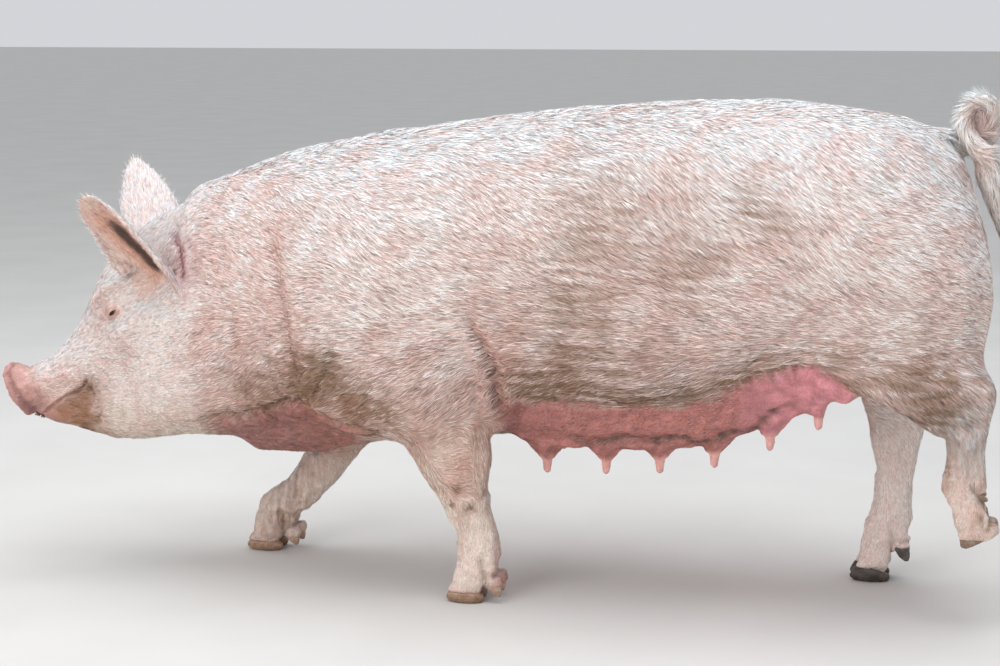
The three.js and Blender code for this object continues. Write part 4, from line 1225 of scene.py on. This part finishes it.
def paint(mesh, name, colours):
    layer = mesh.color_attributes.new(name, "FLOAT_COLOR", "POINT")
    rgba = np.ones((len(colours), 4), np.float32)
    rgba[:, :3] = np.clip(colours, 0, 1)
    layer.data.foreach_set("color", rgba.ravel())


# ------------------------------------------------------------------ the skin as a piece
kinds = [kind_of(n) for n in COVERED]
co = coordinates(skin_mesh)
b = to_body(co)
n = normals(skin_mesh)
kind_index, _ = nearest_nodes(co)
table = np.array([COAT[k] for k in kinds], float)[kind_index]
form = diffused(skin_mesh, table[:, :3], 0.9, 24)
tints = diffused(skin_mesh, np.pad(table[:, 3:], ((0, 0), (0, 1))), 0.9, 24)[:, :2]
bare_share = np.maximum(bare_udder(b), bare_dewlap(b))[:, None]
rear_share = (bare_udder(b) * smooth(1380, 1470, b[:, 0]))[:, None]
form = mix(form, np.array([8, 0.6, 0.8]), bare_share)
form = mix(form, np.array([5, 0.4, 0.25]), rear_share)
hide, _ = shades(b, n, *tints.T)
paint(skin_mesh, "Hide", hide)
skin = new_object("skin", skin_mesh)
skin_mesh.materials.append(hide_material())
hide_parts(*FLESH)
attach(skin, "root")


# ------------------------------------------------------------------ eyes and hooves
def eyeball(name):
    """A smooth ball with a raised cornea that faces outwards."""
    at = centre(name)
    side = np.sign(to_head(to_body(at))[1])
    facing = unit(HEAD_AXES @ np.array([0.25, side, 0.08]))
    shell = bmesh.new()
    bmesh.ops.create_icosphere(shell, subdivisions=5, radius=1.0)
    mesh = made_mesh(name, shell)
    p = unit(coordinates(mesh))
    angle = np.arccos(np.clip(p @ facing, -1, 1))
    bulge = 1 + 0.035 * (1 - smooth(0.0, 0.62, angle))
    set_coordinates(mesh, at + p * (EYE_RADIUS / 1000) * bulge[:, None] * 0.985)
    iris = mesh.attributes.new("Iris", "FLOAT", "POINT")
    iris.data.foreach_set("value", np.clip(angle / 0.95, 0, 1).astype(np.float32))
    shade_smooth(mesh)
    ball = new_object(name + "_ball", mesh)
    mesh.materials.append(EYE_MATERIAL)
    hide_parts(name)
    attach(ball, "root")


def hoof(name):
    """A toe's or dewclaw's horn: rounded and ringed, with its top drawn in under the skin."""
    low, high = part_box(name)
    claw = "dewclaw" in name
    mesh = remeshed(joined([name]), 0.0016 if claw else 0.0021)
    co = diffused(mesh, coordinates(mesh), 0.9, 7)
    middle = centre(name)
    start, end = coronet(name)
    hidden = 1 - smooth(start * 0.5, end, (high.z - co[:, 2]) / (high.z - low.z))
    co = mix(co, middle, (0.5 if claw else 0.42) * hidden[:, None])
    if name in TUCKED:
        co = mix(co, middle, 0.4) - [0.017, 0, 0.002]
    elif not claw:
        co[:, 2] -= 0.007 * hidden
    away = unit(co - middle)
    height = (co[:, 2] - low.z) / (high.z - low.z)
    rings = 0.35 * np.sin(height * (34 if claw else 52) + 2 * waves(to_body(co), 60, 61))
    rings *= smooth(0.12, 0.3, height)
    chips = 0.5 * waves(to_body(co), 9, 62) * (1 - smooth(0.05, 0.2, height))
    co[:, :2] += away[:, :2] * (rings + chips)[:, None] / 1000
    co[:, 2] = np.maximum(co[:, 2], low.z)
    set_coordinates(mesh, co)
    shade_smooth(mesh)
    piece = new_object(name + "_horn", mesh)
    fore = name.startswith("fore")
    rear = HORN_MUDDY if name.startswith("hind_left") else HORN_DARK
    mesh.materials.append(HORN_PALE if fore else rear)
    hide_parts(name)
    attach(piece, "root")


EYE_MATERIAL = eye_material()
HORN_PALE = horn_material("pale_horn", (0.66, 0.48, 0.38), (0.44, 0.28, 0.19))
HORN_DARK = horn_material("dark_horn", (0.15, 0.13, 0.115), (0.05, 0.042, 0.038))
HORN_MUDDY = horn_material("muddy_horn", (0.42, 0.30, 0.22), (0.18, 0.115, 0.08))
for name in EYES:
    eyeball(name)
for name in HORN:
    hoof(name)


# ------------------------------------------------------------------ the coat
TUFTS = 430000
PIECES = 8
# The size of a tuft's patch on the UV map, and its five points' places round its root's.
PATCH = 0.003
RIBBON = np.array([[-1, -1], [1, -1], [-1, 0], [1, 0], [0, 1]]) * PATCH / 2
# How far from the skin a tuft's points are looked for, in metres.
NEAR = 0.012
# How steeply the coat lies down towards the tail at heights on the trunk's sides.
LIE_HEIGHTS = [330, 400, 450, 520, 600, 700, 820]
LIE_SLOPES = [-0.75, -0.6, -0.22, 0.1, 0.36, 0.6, 0.65]


def lie(b, n, kind_index):
    """The direction the coat lies in at each point, before it is evened out."""
    names = np.array(kinds)[kind_index]
    x, _, z = b.T
    down = np.interp(z, LIE_HEIGHTS, LIE_SLOPES)
    loin = smooth(1050, 1250, x) * (1 - smooth(1560, 1700, x)) * smooth(560, 700, z)
    haunch = smooth(1540, 1680, x) * (1 - smooth(720, 810, z)) * smooth(400, 460, z)
    down = mix(down + 0.35 * loin, 0.2, haunch) * smooth(0.1, 0.5, np.abs(n[:, 1]))
    way = np.stack([np.ones(len(b)), 0 * x, -down], 1)
    way[names == "shank"] = [0.12, 0, -1]
    feet = np.isin(names, ["foot", "toe", "dewclaw"])
    way[feet] = [-0.25, 0, -1]
    hind = x > 1200
    facing = smooth(0.1, 0.5, np.abs(n[:, 0]))[:, None]
    fore = mix(np.array([0.9, 0, 0.55]), np.array([0.15, 0, -1.0]), facing)
    way = np.where(((names == "upper") & ~hind)[:, None], fore, way)
    way[(names == "upper") & hind] = [0.7, 0, -0.7]
    head = np.isin(names, ["head", "jaw", "snout", "eye"])
    h = to_head(b)
    back = np.stack([-np.ones(len(b)), 0 * x, -0.25 * (1 - smooth(-20, 60, h[:, 2]))], 1)
    way[head] = (back @ HEAD_AXES.T)[head]
    curl = names == "tail"
    way[curl] = np.stack([-(z - 850), 0 * x, x - 1803], 1)[curl]
    way[np.array(COVERED)[kind_index] == "tail_tip"] = [0.28, 0, -1]
    for name, ear in EARS.items():
        on = np.char.startswith(np.array(COVERED)[kind_index], name)
        axis, _, across = ear_axes(ear)
        _, a, wide = ear_places(ear, b)
        outwards = 0.8 * np.sign(a) * smooth(0.6, 1, np.abs(a) / wide)
        way[on] = (axis + across * outwards[:, None])[on]
    way = diffused(skin_mesh, unit(way), 0.9, 20)
    return unit(way - n * (way * n).sum(1, keepdims=True))


def bare_places(b, n):
    """The share of the coat that is left: none on the disc, the lips' edge and the eyes."""
    h = to_head(b)
    s, y, up = h.T
    disc = (1 - smooth(14, 24, disc_plane(up) - s)) * (np.hypot(y, up) < 90)
    mouth, _ = to_line(h[:, [0, 2]], MOUTH)
    lips = (mouth < np.where(s > 335, 8, 2.5)) * (s > 250)
    lips = np.maximum(lips, (s > 322) * (up < -46))
    lids = 1 - smooth(14, 19, from_eyes(b))
    left = (1 - disc) * (1 - lips) * (1 - lids) * (1 - 0.9 * near_teats(b, 30))
    left = left * (in_horn(b, kind_index) < 0.3)
    return left * (1 - 0.6 * ear_inside(b, n)[0])


def turned(direction, axis, angle):
    return direction * np.cos(angle)[:, None] + np.cross(axis, direction) * np.sin(angle)[:, None]


def ribbons(count):
    """Tufts as narrow ribbons: root pair, middle pair and tip, with their colours and UVs."""
    tris = triangles(skin_mesh)
    loops = np.empty(len(tris) * 3, np.int32)
    skin_mesh.loop_triangles.foreach_get("loops", loops)
    uv = np.empty(len(skin_mesh.loops) * 2, np.float32)
    skin_mesh.uv_layers["OFBake"].data.foreach_get("uv", uv)
    uv = uv.reshape(-1, 2)[loops.reshape(-1, 3)]
    p = co[tris]
    area = np.linalg.norm(np.cross(p[:, 1] - p[:, 0], p[:, 2] - p[:, 0]), axis=1) / 2
    keep = form[:, 2] * bare_places(b, n)
    weight = area * keep[tris].mean(1)
    chosen = RNG.choice(len(tris), count, p=weight / weight.sum())
    chosen.sort()
    r = RNG.random((count, 2))
    r = np.where(r.sum(1, keepdims=True) > 1, 1 - r, r)
    share = np.stack([1 - r.sum(1), r[:, 0], r[:, 1]], 1)[:, :, None]

    def at_roots(values):
        return (values[tris[chosen]] * share).sum(1)

    root, up, way = at_roots(co), unit(at_roots(n)), at_roots(way_field)
    length, width, _ = at_roots(form).T
    tint = at_roots(tints)
    place = (uv[chosen] * share).sum(1)
    here = to_body(root)
    way = unit(way - up * (way * up).sum(1, keepdims=True))
    angle = np.radians(5 * waves(here, 130, 71) + 4 * waves(here, 16, 72) + RNG.normal(0, 6, count))
    way = turned(way, up, angle)
    length = length * RNG.uniform(0.7, 1.3, count) / 1000
    width = width * RNG.uniform(0.7, 1.3, count) / 1000
    clump = waves(here, 6.5, 74, 24)
    height = np.clip(length * 0.1, 0.0005, 0.0034) * RNG.uniform(0.35, 1.1, count)
    height *= 1 + 0.25 * np.clip(clump, -1.5, 1.5)

    tree = BVHTree.FromPolygons(co.tolist(), tris.tolist())

    def over(points, heights):
        """Points moved to a height over the skin nearest to them."""
        out = points + up * heights[:, None]
        for i, point in enumerate(points):
            near, normal, _, _ = tree.find_nearest(Vector(point), NEAR)
            if near is not None and normal.dot(Vector(up[i])) > 0.3:
                out[i] = near + normal * heights[i]
        return out

    middle = over(root + way * length[:, None] * 0.5, height * 0.85)
    tip = over(root + way * length[:, None], height)
    base = root - up * 0.0004
    across = turned(np.cross(way, up), way, np.radians(RNG.normal(0, 18, count)))
    half = across * width[:, None] / 2
    points = np.stack([base - half * 0.8, base + half * 0.8, middle - half, middle + half, tip], 1)

    hide_here, coat = shades(here, up, *tint.T)
    # The legs' hair is even, and the trunk's is clumped.
    clumped = (0.45 + 0.55 * smooth(280, 400, here[:, 2]))[:, None]
    tone = 1 + clumped * (RNG.normal(0, 0.085, count) + 0.13 * clump)[:, None]
    furry = np.clip(length * 55, 0.35, 1)[:, None] * clumped
    # Between the clumps the hide shows through, darkened as painted shade.
    coat = mix(coat, hide_here * 0.7, furry * 0.75 * smooth(0.3, 1.5, -clump)[:, None])
    grey = (RNG.random(count) < 0.14)[:, None] * furry
    coat = mix(coat, coat * GREY_TINT, grey)
    coat = coat * tone * mix(1, rgb(1.02, 1.0, 0.97), RNG.random((count, 1)))
    # Many of the short hairs on the bare skin are dark.
    bare = np.maximum(bare_udder(here) * (1 - smooth(1400, 1480, here[:, 0])), bare_dewlap(here))
    dark = bare * (RNG.random(count) < 0.4)
    coat = mix(coat, SHORT_DARK, 0.75 * dark[:, None])
    root_colour = mix(coat, hide_here, 0.55) * 0.88
    colours = np.stack([root_colour, root_colour, coat, coat, coat * 1.05], 1)
    return points, colours, place[:, None] + RIBBON


def ribbon_mesh(name, points, colours, uv):
    """One mesh of many ribbons. Each has a quad and a triangle."""
    count = len(points)
    mesh = bpy.data.meshes.new(name)
    mesh.vertices.add(count * 5)
    mesh.vertices.foreach_set("co", points.astype(np.float32).ravel())
    corners = np.array([0, 1, 3, 2, 2, 3, 4]) + 5 * np.arange(count)[:, None]
    mesh.loops.add(count * 7)
    mesh.loops.foreach_set("vertex_index", corners.astype(np.int32).ravel())
    mesh.polygons.add(count * 2)
    starts = np.array([0, 4]) + 7 * np.arange(count)[:, None]
    mesh.polygons.foreach_set("loop_start", starts.astype(np.int32).ravel())
    mesh.update(calc_edges=True)
    shade_smooth(mesh)
    layer = mesh.uv_layers.new(name="OFBake")
    corner_uv = np.clip(uv, 0, 1).reshape(-1, 2)[corners.ravel()]
    layer.data.foreach_set("uv", corner_uv.astype(np.float32).ravel())
    paint(mesh, "Coat", colours.reshape(-1, 3))
    mesh.validate()
    return mesh


def make_coat():
    points, colours, uv = ribbons(TUFTS)
    order = np.argsort(points[:, 0, 0])
    look = coat_material()
    for k, rows in enumerate(np.array_split(order, PIECES)):
        name = f"coat_{k + 1}"
        piece = new_object(name, ribbon_mesh(name, points[rows], colours[rows], uv[rows]))
        piece.data.materials.append(look)
        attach(piece, "root")


way_field = lie(b, n, kind_index)
make_coat()


# ------------------------------------------------------------------ floor, light and camera
# The floor lies a little under the feet.
UNDER_FEET = -0.001


def floor():
    mesh = bpy.data.meshes.new("floor")
    corners = [(-30, -20), (30, -20), (30, 40), (-30, 40)]
    mesh.from_pydata([(x, y, UNDER_FEET) for x, y in corners], [], [(0, 1, 2, 3)])
    made, tree, shader = material("floor")
    tone = ramp(tree, object_noise(tree, 3, 4), (0.3, 0.60, 0.59, 0.57), (0.7, 0.64, 0.63, 0.61))
    fill(tree, shader, {"Base Color": tone, "Roughness": 0.9})
    mesh.materials.append(made)
    new_object("floor", mesh)


def area_light(name, at, target, size, power, colour):
    light = bpy.data.lights.new(name, "AREA")
    light.size, light.energy, light.color = size, power, colour
    lamp = bpy.data.objects.new(name, light)
    lamp.location = at
    lamp.rotation_euler = (Vector(target) - Vector(at)).to_track_quat("-Z", "Y").to_euler()
    bpy.context.scene.collection.objects.link(lamp)


def studio():
    world = bpy.data.worlds.new("studio")
    world.use_nodes = True
    sky = world.node_tree.nodes["Background"]
    fill(world.node_tree, sky, {"Color": (0.9, 0.92, 0.96, 1), "Strength": 0.72})
    bpy.context.scene.world = world
    area_light("sky", (0.1, -0.3, 4.2), (0, 0, 0.4), 3.6, 150, (0.96, 0.98, 1.0))
    area_light("front", (-2.4, -4.6, 2.6), (-0.1, 0, 0.45), 3.0, 108, (1.0, 0.98, 0.97))
    bpy.context.scene.view_settings.view_transform = "Standard"


def camera():
    lens = bpy.data.cameras.new("camera")
    lens.lens, lens.sensor_width = 72, 36
    eye = bpy.data.objects.new("camera", lens)
    eye.location = from_body([1630.6, -3531.5, 1060])
    eye.rotation_euler = (math.radians(90 - 9.45), 0, math.radians(10.65))
    bpy.context.scene.collection.objects.link(eye)
    bpy.context.scene.camera = eye


floor()
studio()
camera()
